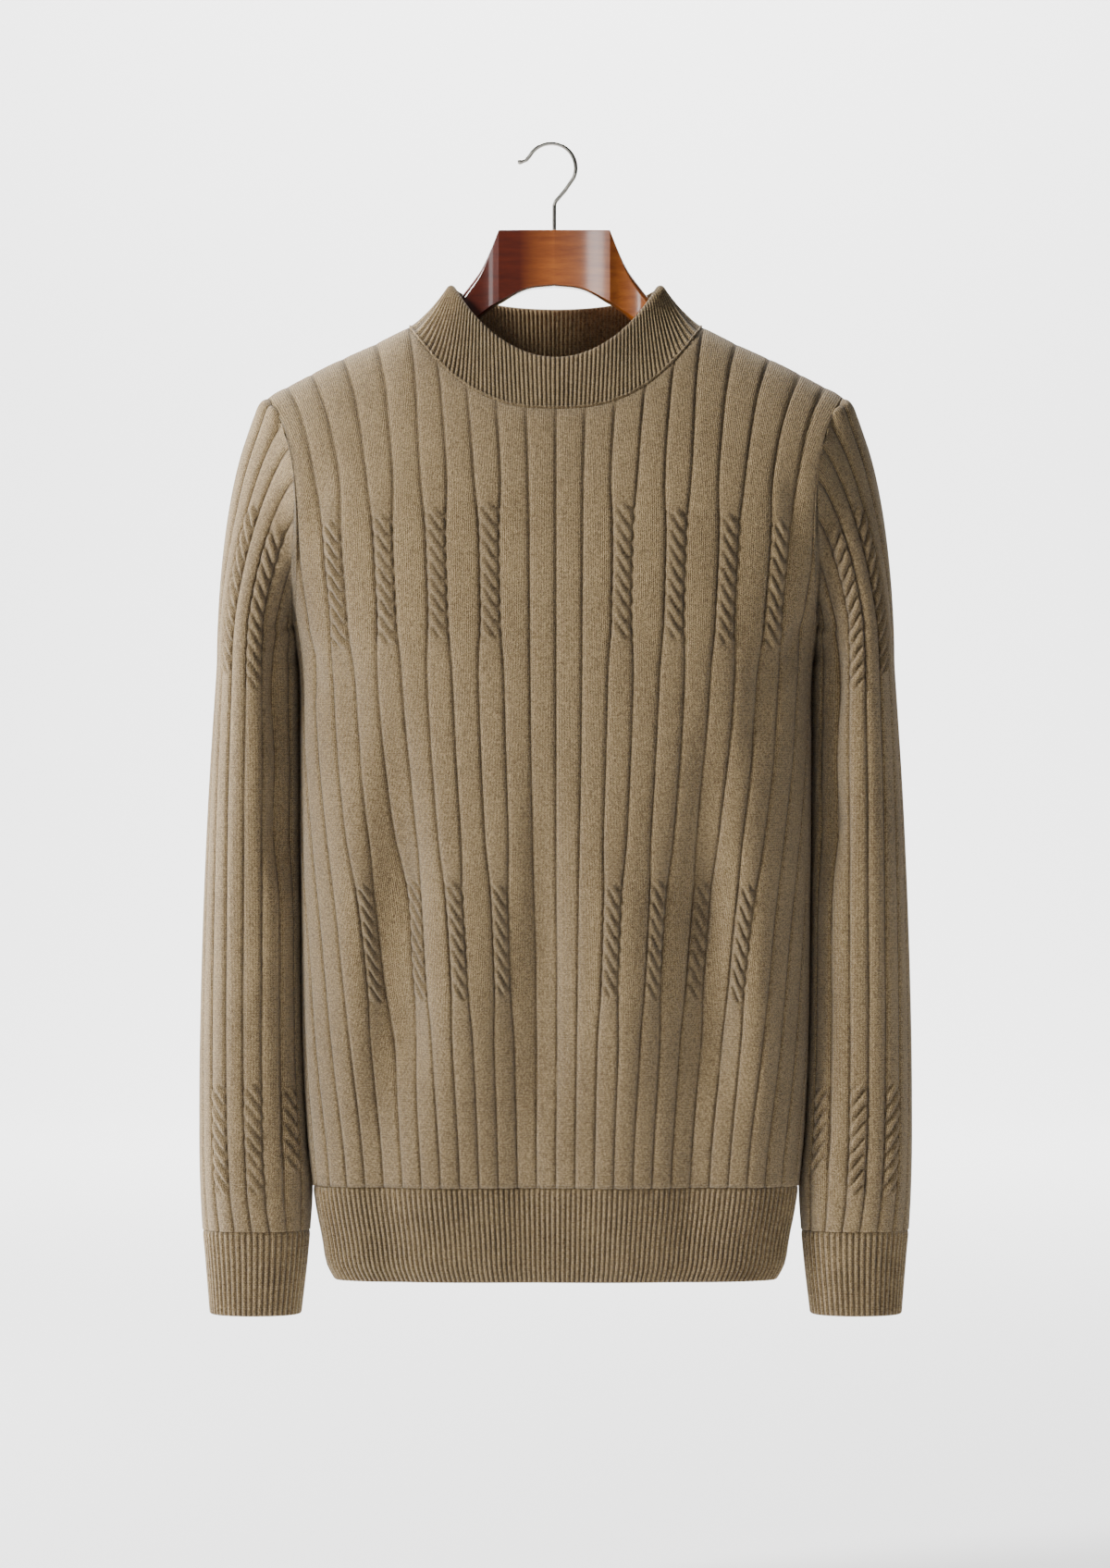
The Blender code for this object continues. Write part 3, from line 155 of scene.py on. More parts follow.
# z, outer side, inner side, half depth, middle in depth
SLEEVE_SECTIONS = (
    (-0.8425, 0.2485, 0.1850, 0.0290, 0.009),
    (-0.8000, 0.2520, 0.1800, 0.0325, 0.009),
    (-0.7813, 0.2540, 0.1782, 0.0355, 0.009),
    (-0.7600, 0.2552, 0.1775, 0.0380, 0.009),
    (-0.7200, 0.2562, 0.1812, 0.0395, 0.008),
    (-0.6600, 0.2560, 0.1845, 0.0405, 0.008),
    (-0.5600, 0.2535, 0.1863, 0.0425, 0.007),
    (-0.4600, 0.2490, 0.1878, 0.0460, 0.006),
    (-0.3750, 0.2437, 0.1905, 0.0500, 0.004),
)
SLEEVE_SQUARENESS = 2.2
CAP_CROWDING = 1.36  # over 1, the ribs end closer together at the top of the armhole
# How a sleeve leaves the armhole. share of the way round to the underarm, how far it turns down, reach
SLEEVE_LEAVES = (
    (0.00, 0.00, 0.0340),
    (0.08, 0.10, 0.0280),
    (0.20, 0.20, 0.0220),
    (0.40, 0.15, 0.0200),
    (0.70, 0.00, 0.0134),
    (1.00, 0.00, 0.0045),
)
# ribs on either side of the sleeve's outer line, then the top and end of the cable
SLEEVE_CABLES = (
    (3, -0.2600, -0.3830),
    (5, -0.2750, -0.3950),
    (3, -0.6730, -0.7560),
    (5, -0.6730, -0.7560),
    (7, -0.6750, -0.7400),
)

# Fine ribs all round the tubes knitted in single rib
COLLAR_RIBS = 140
HEM_RIBS = 192
CUFF_RIBS = 52
FINE_RIB = 0.0014  # a fine rib over its furrows
FINE_STEPS = 6  # places across one of them
COLLAR_CHAIN = 170  # linking stitches round the collar's seam
# share of the hem band's height from its seam, width and depth over those at the seam
HEM_TAPER = (
    (0.00, 1.000, 1.00),
    (0.25, 0.984, 0.97),
    (0.55, 0.960, 0.93),
    (0.85, 0.938, 0.90),
    (1.00, 0.905, 0.86),
)
COLLAR_TOP_X = 0.0745
COLLAR_FRONT_Y = -0.046
COLLAR_BACK_Y = 0.044
COLLAR_SIDE_Z = -0.1025
COLLAR_FRONT_DIP = 0.0535
COLLAR_BACK_DIP = 0.0125

# Hanger. from the joint, top, underside, half thickness, set back, rounding of the top, of the underside
ARM_SECTIONS = (
    (0.0000, -0.0613, -0.1025, 0.0120, 0.0000, 0.0012, 0.0012),
    (0.0200, -0.0613, -0.1050, 0.0120, 0.0000, 0.0012, 0.0012),
    (0.0400, -0.0613, -0.1145, 0.0120, 0.0000, 0.0012, 0.0012),
    (0.0450, -0.0730, -0.1180, 0.0110, 0.0010, 0.0030, 0.0020),
    (0.0520, -0.0880, -0.1235, 0.0102, 0.0018, 0.0050, 0.0030),
    (0.0610, -0.1010, -0.1310, 0.0094, 0.0020, 0.0060, 0.0040),
    (0.0700, -0.1120, -0.1380, 0.0086, 0.0012, 0.0070, 0.0050),
    (0.0850, -0.1245, -0.1490, 0.0074, 0.0000, 0.0070, 0.0060),
)
ARM_END = 0.1960
# from the joint, underside, half thickness, set back, rounding of the top, of the underside
ARM_RUN = (
    (0.1040, -0.1620, 0.0056, 0.0000, 0.0056, 0.0056),
    (0.1300, -0.1770, 0.0130, 0.0000, 0.0150, 0.0080),
    (0.1550, -0.1905, 0.0155, 0.0000, 0.0170, 0.0090),
    (0.1780, -0.2010, 0.0165, 0.0000, 0.0180, 0.0095),
    (0.1900, -0.2030, 0.0145, 0.0000, 0.0140, 0.0090),
)
ARM_CLEARANCE = 0.0018


def unit(vector):
    return vector / np.linalg.norm(vector)


def reach_along(points):
    """The distance along a line of points to each of them."""
    return np.concatenate([[0], np.cumsum(np.linalg.norm(np.diff(points, axis=0), axis=1))])


def follow(rows, at):
    """The other columns of a table at a value of its first, on a smooth curve through its rows."""
    knots, values = table_arrays(rows)
    at = min(max(at, knots[0]), knots[-1])
    i = min(int(np.searchsorted(knots, at, side="right")) - 1, len(knots) - 2)
    slopes = table_slopes(rows)
    width = knots[i + 1] - knots[i]
    t = (at - knots[i]) / width
    rise = values[i + 1] - values[i]
    a = slopes[i] * width - rise
    b = rise - slopes[i + 1] * width
    return values[i] + t * rise + t * (1 - t) * ((1 - t) * a + t * b)


@lru_cache(maxsize=None)
def table_arrays(rows):
    table = np.array(rows)
    return table[:, 0], table[:, 1:]


@lru_cache(maxsize=None)
def table_slopes(rows):
    """A slope at each row, flat where the values turn round."""
    knots, values = table_arrays(rows)
    step = np.diff(values, axis=0) / np.diff(knots)[:, None]
    slopes = np.vstack([step[:1], (step[1:] + step[:-1]) / 2, step[-1:]])
    turns = step[1:] * step[:-1] <= 0
    slopes[1:-1][turns] = 0.0
    return slopes


def shoulder_z(x):
    return float(follow(SHOULDER_LINE, abs(x))[0])


@lru_cache(maxsize=None)
def section_arcs(z):
    """Half of a level section of the body: x, depth and distance round, for the front and the back."""
    half_width, front, back, squareness, _ = follow(BODY_SECTIONS, z)
    turn = np.linspace(0, math.pi / 2, 181)
    across = half_width * np.sin(turn) ** (2 / squareness)
    arcs = []
    for depth in (front, back):
        deep = depth * np.cos(turn) ** (2 / squareness)
        arcs.append((across, deep, reach_along(np.column_stack([across, deep]))))
    return arcs


def fold_depth(facing, x, z):
    """How far the long folds draw the cloth inwards."""
    depth = 0.0
    for middle, half_width, deep, top, end, lean in FRONT_FOLDS if facing < 0 else BACK_FOLDS:
        down = (top - z) / (top - end)
        if 0 < down < 1:
            strength = math.sin(math.pi * min(0.5, down * 0.9)) ** 1.5
            off = (x - middle - lean * down) / half_width
            depth += deep * strength * math.exp(-off * off)
    return depth


def on_section(facing, side, distance, z):
    """A point of the body, by its distance round from the middle of the panel that faces this way."""
    arcs = section_arcs(round(z, 6))
    own = arcs[0] if facing < 0 else arcs[1]
    far = arcs[1] if facing < 0 else arcs[0]
    quarter = own[2][-1]
    across, deep, round_to = own if distance <= quarter else far
    reach = distance if distance <= quarter else quarter + far[2][-1] - distance
    x = float(np.interp(reach, round_to, across))
    y = float(np.interp(reach, round_to, deep)) * (1 if distance <= quarter else -1)
    drop = min(max((shoulder_z(x) - z) / SHOULDER_FALL, 0), 1)
    y *= math.sqrt(1 - (1 - drop) ** SHOULDER_ROUND)
    middle_weight = max(0.0, 1 - (x / float(across[-1])) ** 6)
    y -= fold_depth(facing, side * x, z) * middle_weight
    return np.array([GARMENT_X + side * x, facing * (y + SEAM_GAP / 2), z])


def panel_edge(facing, rib):
    """Where the wale of this rib number ends: distance from the middle plane, and height."""
    rib = min(abs(rib), HALF_RIBS)
    if rib <= NECK_RIB:
        x = NECK_X * rib / NECK_RIB
        low = NECK_FRONT_Z if facing < 0 else NECK_BACK_Z
        bow = 2.6 if facing < 0 else 2.0
        return x, low + (shoulder_z(NECK_X) - low) * (rib / NECK_RIB) ** bow
    if rib <= TIP_RIB:
        x = NECK_X + (TIP_X - NECK_X) * (rib - NECK_RIB) / (TIP_RIB - NECK_RIB)
        return x, shoulder_z(x)
    down = 1 - (1 - (rib - TIP_RIB) / (HALF_RIBS - TIP_RIB)) ** 1.5
    z = shoulder_z(TIP_X) + (UNDERARM_Z - shoulder_z(TIP_X)) * down
    return float(follow(ARMHOLE_LINE, z)[0]), z


def edge_distance(facing, rib):
    """Distance round the section from the panel's middle to the end of this wale."""
    x, z = panel_edge(facing, rib)
    across, _, round_to = section_arcs(round(z, 6))[0 if facing < 0 else 1]
    return float(np.interp(x, across, round_to))


def seam_distance(facing, z):
    """Distance round from the panel's middle to the side seam, half a gap short of it.

    Over the underarm there is no side seam, and the back's wales go on beside the front's."""
    front = float(follow(BODY_SECTIONS, z)[4])
    if facing < 0:
        return front - SEAM_GAP / 2
    level = min(z, UNDERARM_Z)
    arcs = section_arcs(round(level, 6))
    wider = arcs[0][2][-1] + arcs[1][2][-1] - 2 * float(follow(BODY_SECTIONS, level)[4])
    return front + wider - SEAM_GAP / 2


def cable_share(z):
    """1 beside the cables and 0 away from them."""
    share = 0.0
    for top, end in PINCH_SPANS:
        share += 1 / (1 + math.exp((z - top) / PINCH_BLEND)) - 1 / (1 + math.exp((z - end) / PINCH_BLEND))
    return share


def natural_distance(facing, rib, z):
    """Where the wale would lie if nothing shaped the top of the panel."""
    if facing < 0 and 1.5 < rib < 9.5:
        rib += CABLE_PINCH * math.cos(math.pi * rib) * cable_share(z)
    return seam_distance(facing, z) * rib / HALF_RIBS


@lru_cache(maxsize=None)
def edge_shift(facing, rib):
    """What carries the end of a wale from its natural place to the panel's edge."""
    return edge_distance(facing, rib) - natural_distance(facing, rib, panel_edge(facing, rib)[1])


@lru_cache(maxsize=None)
def body_point(facing, rib, z):
    side = -1 if rib < 0 else 1
    rib = abs(rib)
    below_edge = panel_edge(facing, rib)[1] - z
    draw = max(0.0, 1 - max(below_edge, 0) / 0.11) ** 3
    distance = natural_distance(facing, rib, z) + draw * edge_shift(facing, rib)
    return on_section(facing, side, distance, z)


def edge_point(facing, rib):
    """A point of the panel's top edge."""
    return body_point(facing, rib, panel_edge(facing, rib)[1])


def armhole_normal(facing, rib):
    """Outward at the panel's armhole edge, leaning over towards the surface of the sleeve."""
    side, rib = -1 if rib < 0 else 1, abs(rib)
    z = panel_edge(facing, rib)[1]
    across = edge_point(facing, min(rib + 0.03, HALF_RIBS)) - edge_point(facing, rib - 0.03)
    down = body_point(facing, rib, z) - body_point(facing, rib, z - 0.0015)
    normal = unit(np.cross(across, down)) * -facing
    normal[0] *= side
    if rib <= TIP_RIB + 0.001 or rib >= HALF_RIBS - 0.001:
        normal[1] = 0
    normal = unit(normal)
    if rib > TIP_RIB + 0.01:
        low = min(max((-0.300 - z) / (-0.300 - UNDERARM_Z), 0), 1)
        normal = unit(normal + np.array([0, facing * 0.5 * (1 - low), -low]))
    return normal


def shared_ring(front, back):
    """One closed ring of rows of numbers from the front's and the back's halves of a seam.

    Both run the same way, and where they meet their two end rows become one."""
    back = back[::-1]
    start, turn = (front[:1] + back[-1:]) / 2, (front[-1:] + back[:1]) / 2
    return np.concatenate([start, front[1:-1], turn, back[1:-1]])


def ring_away(points, normals, towards):
    """The direction across a seam at each of its points, to the side that towards points to."""
    along = np.roll(points, -1, axis=0) - np.roll(points, 1, axis=0)
    across = np.cross(along, normals)
    across = across / np.linalg.norm(across, axis=1, keepdims=True)
    return np.where((across @ towards > 0)[:, None], across, -across)


def ring_point(points, turn):
    """A point on the straight runs of a closed ring, by its share of the points' number."""
    at = turn % 1.0 * len(points)
    i = min(int(at), len(points) - 1)
    share = at - i
    return points[i] * (1 - share) + points[(i + 1) % len(points)] * share


@lru_cache(maxsize=None)
def sleeve_arc(z):
    """Half of a level section of the sleeve from its outer side: x, depth and distance round."""
    outer, inner, half_depth, _ = follow(SLEEVE_SECTIONS, z)
    turn = np.linspace(0, math.pi, 241)
    power = 2 / SLEEVE_SQUARENESS
    cosine = np.cos(turn)
    across = (outer + inner) / 2 + (outer - inner) / 2 * np.sign(cosine) * np.abs(cosine) ** power
    deep = half_depth * np.sin(turn) ** power
    return across, deep, reach_along(np.column_stack([across, deep]))


def sleeve_section(side, rib, z):
    """A point of the sleeve below the upper arm. A positive rib lies to the front."""
    across, deep, round_to = sleeve_arc(round(z, 6))
    number = abs(rib)
    even = min(number, EVEN_RIBS) * SLEEVE_PITCH
    rest = max(number - EVEN_RIBS, 0) / (SLEEVE_HALF_RIBS - EVEN_RIBS)
    distance = even + rest * (round_to[-1] - EVEN_RIBS * SLEEVE_PITCH)
    x = float(np.interp(distance, round_to, across))
    y = float(np.interp(distance, round_to, deep))
    middle = float(follow(SLEEVE_SECTIONS, z)[3])
    return np.array([GARMENT_X + side * x, middle - math.copysign(y, rib), z])


class Sleeve:
    """The form of one sleeve: a cap that leaves the armhole and turns down, then a straight arm."""

    def __init__(self, side):
        self.side = side
        ribs = [TIP_RIB + (HALF_RIBS - TIP_RIB) * (i / 48) ** 1.2 for i in range(49)]
        halves, places = [], []
        for facing in (-1, 1):
            points = np.array([edge_point(facing, side * rib) for rib in ribs])
            normals = np.array([armhole_normal(facing, side * rib) for rib in ribs])
            halves.append(np.hstack([points, normals]))
            reach = reach_along(points)
            places.append(SLEEVE_HALF_RIBS * (reach / reach[-1]) ** (1 / CAP_CROWDING))
        ring = shared_ring(*halves)
        away = ring_away(ring[:, :3], ring[:, 3:], np.array([side, 0, 0.8]))
        at = np.concatenate([places[0], -places[1][-2:0:-1]])
        order = np.argsort(at)
        self.at, self.starts, self.aways = at[order], ring[order, :3], away[order]

    def on_ring(self, rib, rows):
        """A value of the armhole seam at a rib, the underarm being both ends."""
        at = np.concatenate([[self.at[-1] - 2 * SLEEVE_HALF_RIBS], self.at])
        rows = np.concatenate([rows[-1:], rows])
        return np.array([np.interp(rib, at, rows[:, k]) for k in range(3)])

    @lru_cache(maxsize=None)
    def point(self, rib, share):
        """share runs from 0 at the armhole to 1 at the upper arm, and on to 2 at the cuff."""
        if share > 1:
            return sleeve_section(self.side, rib, BICEP_Z + (CUFF_SEAM_Z - BICEP_Z) * (share - 1))
        low = abs(rib) / SLEEVE_HALF_RIBS
        start = self.on_ring(rib, self.starts) + self.on_ring(rib, self.aways) * SEAM_GAP
        fall, reach = follow(SLEEVE_LEAVES, low)
        lead = unit(self.on_ring(rib, self.aways) - np.array([0, 0, fall])) * reach
        end = sleeve_section(self.side, rib, BICEP_Z)
        rise = np.array([0, 0, 0.42 * (start[2] - end[2])])
        a, b, c = (1 - share) ** 3, 3 * share * (1 - share) ** 2, 3 * share**2 * (1 - share)
        return a * start + b * (start + lead) + c * (end + rise) + share**3 * end


def cuff_middle(side, z):
    outer, inner, _, middle = follow(SLEEVE_SECTIONS, z)
    return np.array([GARMENT_X + side * (outer + inner) / 2, middle, z])


def arm_rows():
    """Sections of one arm: the shaped neck of the hanger, then the run under the shoulder."""
    rows = list(ARM_SECTIONS)
    for x, low, half, back, top_round, low_round in ARM_RUN:
        top = shoulder_z(x + HANGER_X - GARMENT_X) - WALL - ARM_CLEARANCE
        top = min(top, shoulder_z(x + GARMENT_X - HANGER_X) - WALL - ARM_CLEARANCE)
        rows.append((x, top, low, half, back, top_round, low_round))
    return tuple(rows)


# ---------------------------------------------------------------- fine surfaces


def smooth_rows(grid, at):
    """Values of a grid at places along its first axis, on a smooth curve through its rows."""
    first, last = 2 * grid[:1] - grid[1:2], 2 * grid[-1:] - grid[-2:-1]
    padded = np.concatenate([first, grid, last])
    i = np.clip(np.floor(at).astype(int), 0, len(grid) - 2)
    t = (at - i).reshape((-1,) + (1,) * (grid.ndim - 1))
    a, b, c, d = (padded[i + k] for k in range(4))
    return b + 0.5 * t * (c - a + t * (2 * a - 5 * b + 4 * c - d + t * (3 * (b - c) + d - a)))


def smooth_round(grid, at):
    """Values of a grid at places along its second axis, which is closed."""
    wide = np.concatenate([grid[:, -3:], grid, grid[:, :3]], axis=1)
    return smooth_rows(wide.transpose(1, 0, 2), 3 + at % grid.shape[1]).transpose(1, 0, 2)


def grid_normals(points, closed, away):
    """Unit normals of a (rows, columns) grid, on the side that away points to."""
    if closed:
        wide = np.concatenate([points[:, -2:], points, points[:, :2]], axis=1)
        across = np.gradient(wide, axis=1)[:, 2:-2]
    else:
        across = np.gradient(points, axis=1)
    normal = np.cross(across, np.gradient(points, axis=0))
    normal = normal / np.maximum(np.linalg.norm(normal, axis=2, keepdims=True), 1e-12)
    return -normal if np.sum(normal * away) < 0 else normal


def new_piece(name, points, faces, material):
    """A smooth mesh object of one material, in the scene."""
    mesh = bpy.data.meshes.new(name)
    mesh.from_pydata(points, [], faces)
    mesh.shade_smooth()
    mesh.materials.append(material)
    piece = bpy.data.objects.new(name, mesh)
    bpy.context.collection.objects.link(piece)
    return piece


def knit_shell(name, base, outward, rise, groove_shade, wales, inner_step, depth, closed, material):
    """A closed wall of cloth: the outer face base + rise, and a coarser face that deep inside it."""
    rows, columns = base.shape[:2]
    outer = base + outward * rise[..., None]
    picks = list(range(0, rows - 1, inner_step)) + [rows - 1]
    inner = base[picks] - outward[picks] * depth[picks][..., None]
    points = np.concatenate([outer.reshape(-1, 3), inner.reshape(-1, 3)])
    out_ids = np.arange(rows * columns).reshape(rows, columns)
    in_ids = rows * columns + np.arange(len(picks) * columns).reshape(len(picks), columns)
    courses = reach_along(base[:, columns // 3]) / COURSE
    place = np.stack(np.meshgrid(wales[:columns], courses), axis=-1)
    places = np.concatenate([place.reshape(-1, 2), place[picks].reshape(-1, 2)])
    if closed:
        out_ids = np.concatenate([out_ids, out_ids[:, :1]], axis=1)
        in_ids = np.concatenate([in_ids, in_ids[:, :1]], axis=1)

    def quads(ids):
        return np.stack([ids[:-1, :-1], ids[:-1, 1:], ids[1:, 1:], ids[1:, :-1]], axis=2).reshape(-1, 4)

    faces_out, faces_in = quads(out_ids), quads(in_ids)
    a, b, d = points[faces_out[:, 0]], points[faces_out[:, 1]], points[faces_out[:, 3]]
    normals = outward.reshape(-1, 3)[faces_out[:, 0]]
    flip = np.sum(np.cross(b - a, d - a) * normals) < 0
    rim = np.concatenate(
        [
            np.stack([in_ids[0, :-1], in_ids[0, 1:], out_ids[0, 1:], out_ids[0, :-1]], axis=1),
            np.stack([out_ids[-1, :-1], out_ids[-1, 1:], in_ids[-1, 1:], in_ids[-1, :-1]], axis=1),
        ]
    )
    order = slice(None, None, -1) if flip else slice(None)
    against = slice(None) if flip else slice(None, None, -1)
    faces = [*faces_out[:, order].tolist(), *faces_in[:, against].tolist(), *rim[:, order].tolist()]
    if not closed:
        for k, (low, high) in enumerate(zip(picks, picks[1:])):
            left = out_ids[low : high + 1, 0].tolist() + [int(in_ids[k + 1, 0]), int(in_ids[k, 0])]
            right = out_ids[low : high + 1, -1].tolist() + [int(in_ids[k + 1, -1]), int(in_ids[k, -1])]
            faces += [left if flip else left[::-1], right[::-1] if flip else right]

    piece = new_piece(name, points.tolist(), faces, material)
    mesh = piece.data
    loops = np.zeros(len(mesh.loops), dtype=np.int32)
    mesh.loops.foreach_get("vertex_index", loops)
    uv = places[loops]
    if closed:
        starts = np.zeros(len(mesh.polygons), dtype=np.int32)
        totals = np.zeros(len(mesh.polygons), dtype=np.int32)
        mesh.polygons.foreach_get("loop_start", starts)
        mesh.polygons.foreach_get("loop_total", totals)
        owner = np.repeat(np.arange(len(starts)), totals)
        widest = np.zeros(len(starts))
        np.maximum.at(widest, owner, uv[:, 0])
        uv[:, 0] += np.where(widest[owner] - uv[:, 0] > wales[-1] / 2, wales[-1], 0)
    mesh.uv_layers.new(name="knit").data.foreach_set("uv", uv.astype(np.float32).reshape(-1))
    # painted shade as a point attribute: the grooves' shade on the outer face, and an even painted shade on
    # the inner face
    inside = np.full(len(picks) * columns, INNER_SHADE)
    shade = np.concatenate([groove_shade.reshape(-1), inside]).astype(np.float32)
    mesh.attributes.new("groove_shade", "FLOAT", "POINT").data.foreach_set("value", shade)
    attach(piece, "root")
    return piece


def ease(value):
    """A smooth step from 0 to 1."""
    value = np.clip(value, 0, 1)
    return value * value * (3 - 2 * value)


def bell(value, width):
    """A smooth bump of height 1 at 0."""
    return np.exp(-((value / width) ** 2))


RIB_HIGH = 0.0013  # a wide rib's flanks over its grooves
RIB_CROWN = 0.0005  # its middle over its flanks
RIB_SUNK = 0.0006  # its grooves under the panel's form
ROPE_HIGH = 0.0034  # a strand of a cable over the furrows beside it
ROPE_SUNK = 0.0009
ROPE_START = 0.005  # the height over which a cable begins and ends


def rib_face(share, pitch):
    """Rise of a wide rib over its grooves, and the painted shade in its grooves at each place, from 0 to 1.
    """
    off = np.minimum(share, 1 - share) * pitch
    rise = RIB_HIGH * (1 - bell(off, 0.0012)) + RIB_CROWN * np.sin(math.pi * share) - RIB_SUNK
    return rise, 0.72 * bell(off, 0.00072)


def rope_face(share, z, top, end):
    """Rise of a rope cable, the painted shade in its furrows at each place, and how far the rope is under
    way.
    """
    across = 2 * share - 1
    way = ease((top - z) / ROPE_START) * ease((z - end) / ROPE_START)
    turn = (z - top) / TWIST + 0.48 * np.sin(across * math.pi / 2) + 0.14 * across
    strand = np.abs(np.sin(math.pi * turn))
    edge = np.clip(1 - (np.abs(across) / (0.86 + 0.14 * strand)) ** 3.0, 0, 1) ** 0.5
    reach = 0.25 + 0.75 * ease((across + 0.95) / 0.5)
    puff = 1 - reach * (1 - strand**0.75)
    rise = (0.0002 + ROPE_HIGH * puff) * edge - ROPE_SUNK
    furrow_shade = reach * bell(strand, 0.30) * edge
    return rise, 0.8 * furrow_shade, way


def ribbed_face(number, z, pitch, zones, rib_of):
    """Rise and painted groove shade over a whole ribbed piece. zones: rib to (top, end) of its cables."""
    floor = rib_of(number)
    share = number - floor
    rise, groove_shade = rib_face(share, pitch)
    for rib, heights in zones.items():
        inside = np.abs(floor - rib) < 0.01
        for top, end in heights:
            rope, furrow_shade, way = rope_face(share, z, top, end)
            off = np.minimum(share, 1 - share) * pitch
            # painted shade along the grooves at a cable's edges
            edge_groove_shade = 0.85 * bell(off, 0.0010)
            rise = np.where(inside, rise * (1 - way) + rope * way, rise)
            groove_shade = np.where(inside, np.maximum(groove_shade, way * np.maximum(furrow_shade, edge_groove_shade)), groove_shade)
    return rise, groove_shade


def crease_field(points, outward, creases):
    """Soft uneven troughs, or ridges, along lines in the front view: (x, z) points, width, depth.

    The lines run downwards. The troughs fade at both ends and where the cloth turns away to the side."""
    total = np.zeros(points.shape[:2])
    x, z = points[..., 0] - GARMENT_X, points[..., 2]
    for line, width, depth in creases:
        nearest = np.full(x.shape, 1.0)
        for (x0, z0), (x1, z1) in zip(line, line[1:]):
            dx, dz = x1 - x0, z1 - z0
            along = np.clip(((x - x0) * dx + (z - z0) * dz) / (dx * dx + dz * dz), 0, 1)
            nearest = np.minimum(nearest, np.hypot(x - x0 - along * dx, z - z0 - along * dz))
        down = (line[0][1] - z) / (line[0][1] - line[-1][1])
        wave = (0.85 + 0.15 * np.sin(z * 60 + line[0][0] * 90)) * ease(down / 0.4) * ease((1 - down) / 0.3)
        total += depth * wave * bell(nearest, width)
    return total * ease(np.abs(outward[..., 1]) / 0.7)


TIP_FILL = 0.0024
TIP_REACH = 0.016  # how far from the tip it fades, across and upwards
TIP_DEEP = 0.030  # and in depth


def tip_fill(points):
    """Rounds the shoulder's end out a little, the same on a panel and on the sleeve sewn to it."""
    x, y, z = points[..., 0] - GARMENT_X, points[..., 1], points[..., 2]
    up = (z - shoulder_z(TIP_X)) / TIP_REACH
    far = ((np.abs(x) - TIP_X) / TIP_REACH) ** 2 + (y / TIP_DEEP) ** 2 + up**2
    fill = TIP_FILL * np.exp(-far)
    return points + np.stack([np.sign(x) * fill * 0.6, 0 * y, fill * 0.8], axis=-1)


RIB_STEPS = (0, 0.035, 0.08, 0.14, 0.25, 0.38, 0.50, 0.62, 0.75, 0.86, 0.92, 0.965)
PLAIN_STEPS = (0, 0.045, 0.10, 0.20, 0.40, 0.60, 0.80, 0.90, 0.955)
EVEN_STEPS = tuple(k / 18 for k in range(18))
LEANING_RIBS = (-10, -9, 8, 9)  # by the shoulder tips, where the grooves lean over


def fine_numbers(ribs, shift, cabled, even=()):
    """Places across the ribs: close steps where a rib holds a cable, and even ones where grooves lean."""
    numbers = []
    for rib in ribs:
        steps = RIB_STEPS if rib + shift in cabled else PLAIN_STEPS
        if rib in even:
            steps = EVEN_STEPS
        numbers += [rib + shift + step for step in steps]
    return numbers


KNEE = 0.8  # below this share of a wale's height the rows are level
KNEE_Z = -0.25
FORM_ROWS = 71  # rows of points of a panel's form without ribs
FORM_WALES = 0.25  # how far apart its wales are, in ribs
RIM_SHIFT = 0.36  # how far the ninth grooves lean out at the top, in ribs
RIM_SHIFT_FROM = 0.10  # the height over which they do
RIB_ENDS = 0.014  # the ribs grow flat over this much below the top


def wale_height(top, share):
    """Height at a share of a wale from the hem, 0, to its top, 1."""
    knee = min(KNEE_Z, top - 0.02)
    over = np.clip((share - KNEE) / (1 - KNEE), 0, 1)
    level = HEM_SEAM_Z + (knee - HEM_SEAM_Z) * np.minimum(share / KNEE, 1)
    return level + (top - knee) * (1 - (1 - over) ** 2)


def level_rows(spans, plain, close, over):
    """Shares of the rows: even steps of height to the knee, close ones in the spans, then rows over it."""
    heights, z = [], HEM_SEAM_Z
    while z < KNEE_Z:
        heights.append(z)
        z += close if any(end < z < top for top, end in spans) else plain
    shares = KNEE * (np.array(heights) - HEM_SEAM_Z) / (KNEE_Z - HEM_SEAM_Z)
    return np.concatenate([shares, np.linspace(KNEE, 1, over)])


def panel_form(facing, numbers, shares):
    """A (rows, columns) grid of points of a panel, from the hem up."""
    corners = (-HALF_RIBS, -TIP_RIB, -NECK_RIB, NECK_RIB, TIP_RIB, HALF_RIBS)
    coarse = np.linspace(0, 1, FORM_ROWS)
    parts = []
    for low, high in zip(corners, corners[1:]):
        knots = np.linspace(low, high, max(4, round((high - low) / FORM_WALES)) + 1)
        grid = []
        for number in knots:
            heights = wale_height(panel_edge(facing, number)[1], coarse)
            grid.append([body_point(facing, round(float(number), 6), float(z)) for z in heights])
        wanted = numbers[(numbers >= low - 1e-9) & (numbers < high - 1e-9)]
        if high == HALF_RIBS:
            wanted = np.append(wanted, high)
        parts.append(smooth_rows(np.array(grid), (wanted - low) / (knots[1] - knots[0])))
    columns = np.concatenate(parts)
    return smooth_rows(columns.transpose(1, 0, 2), shares * (len(coarse) - 1))


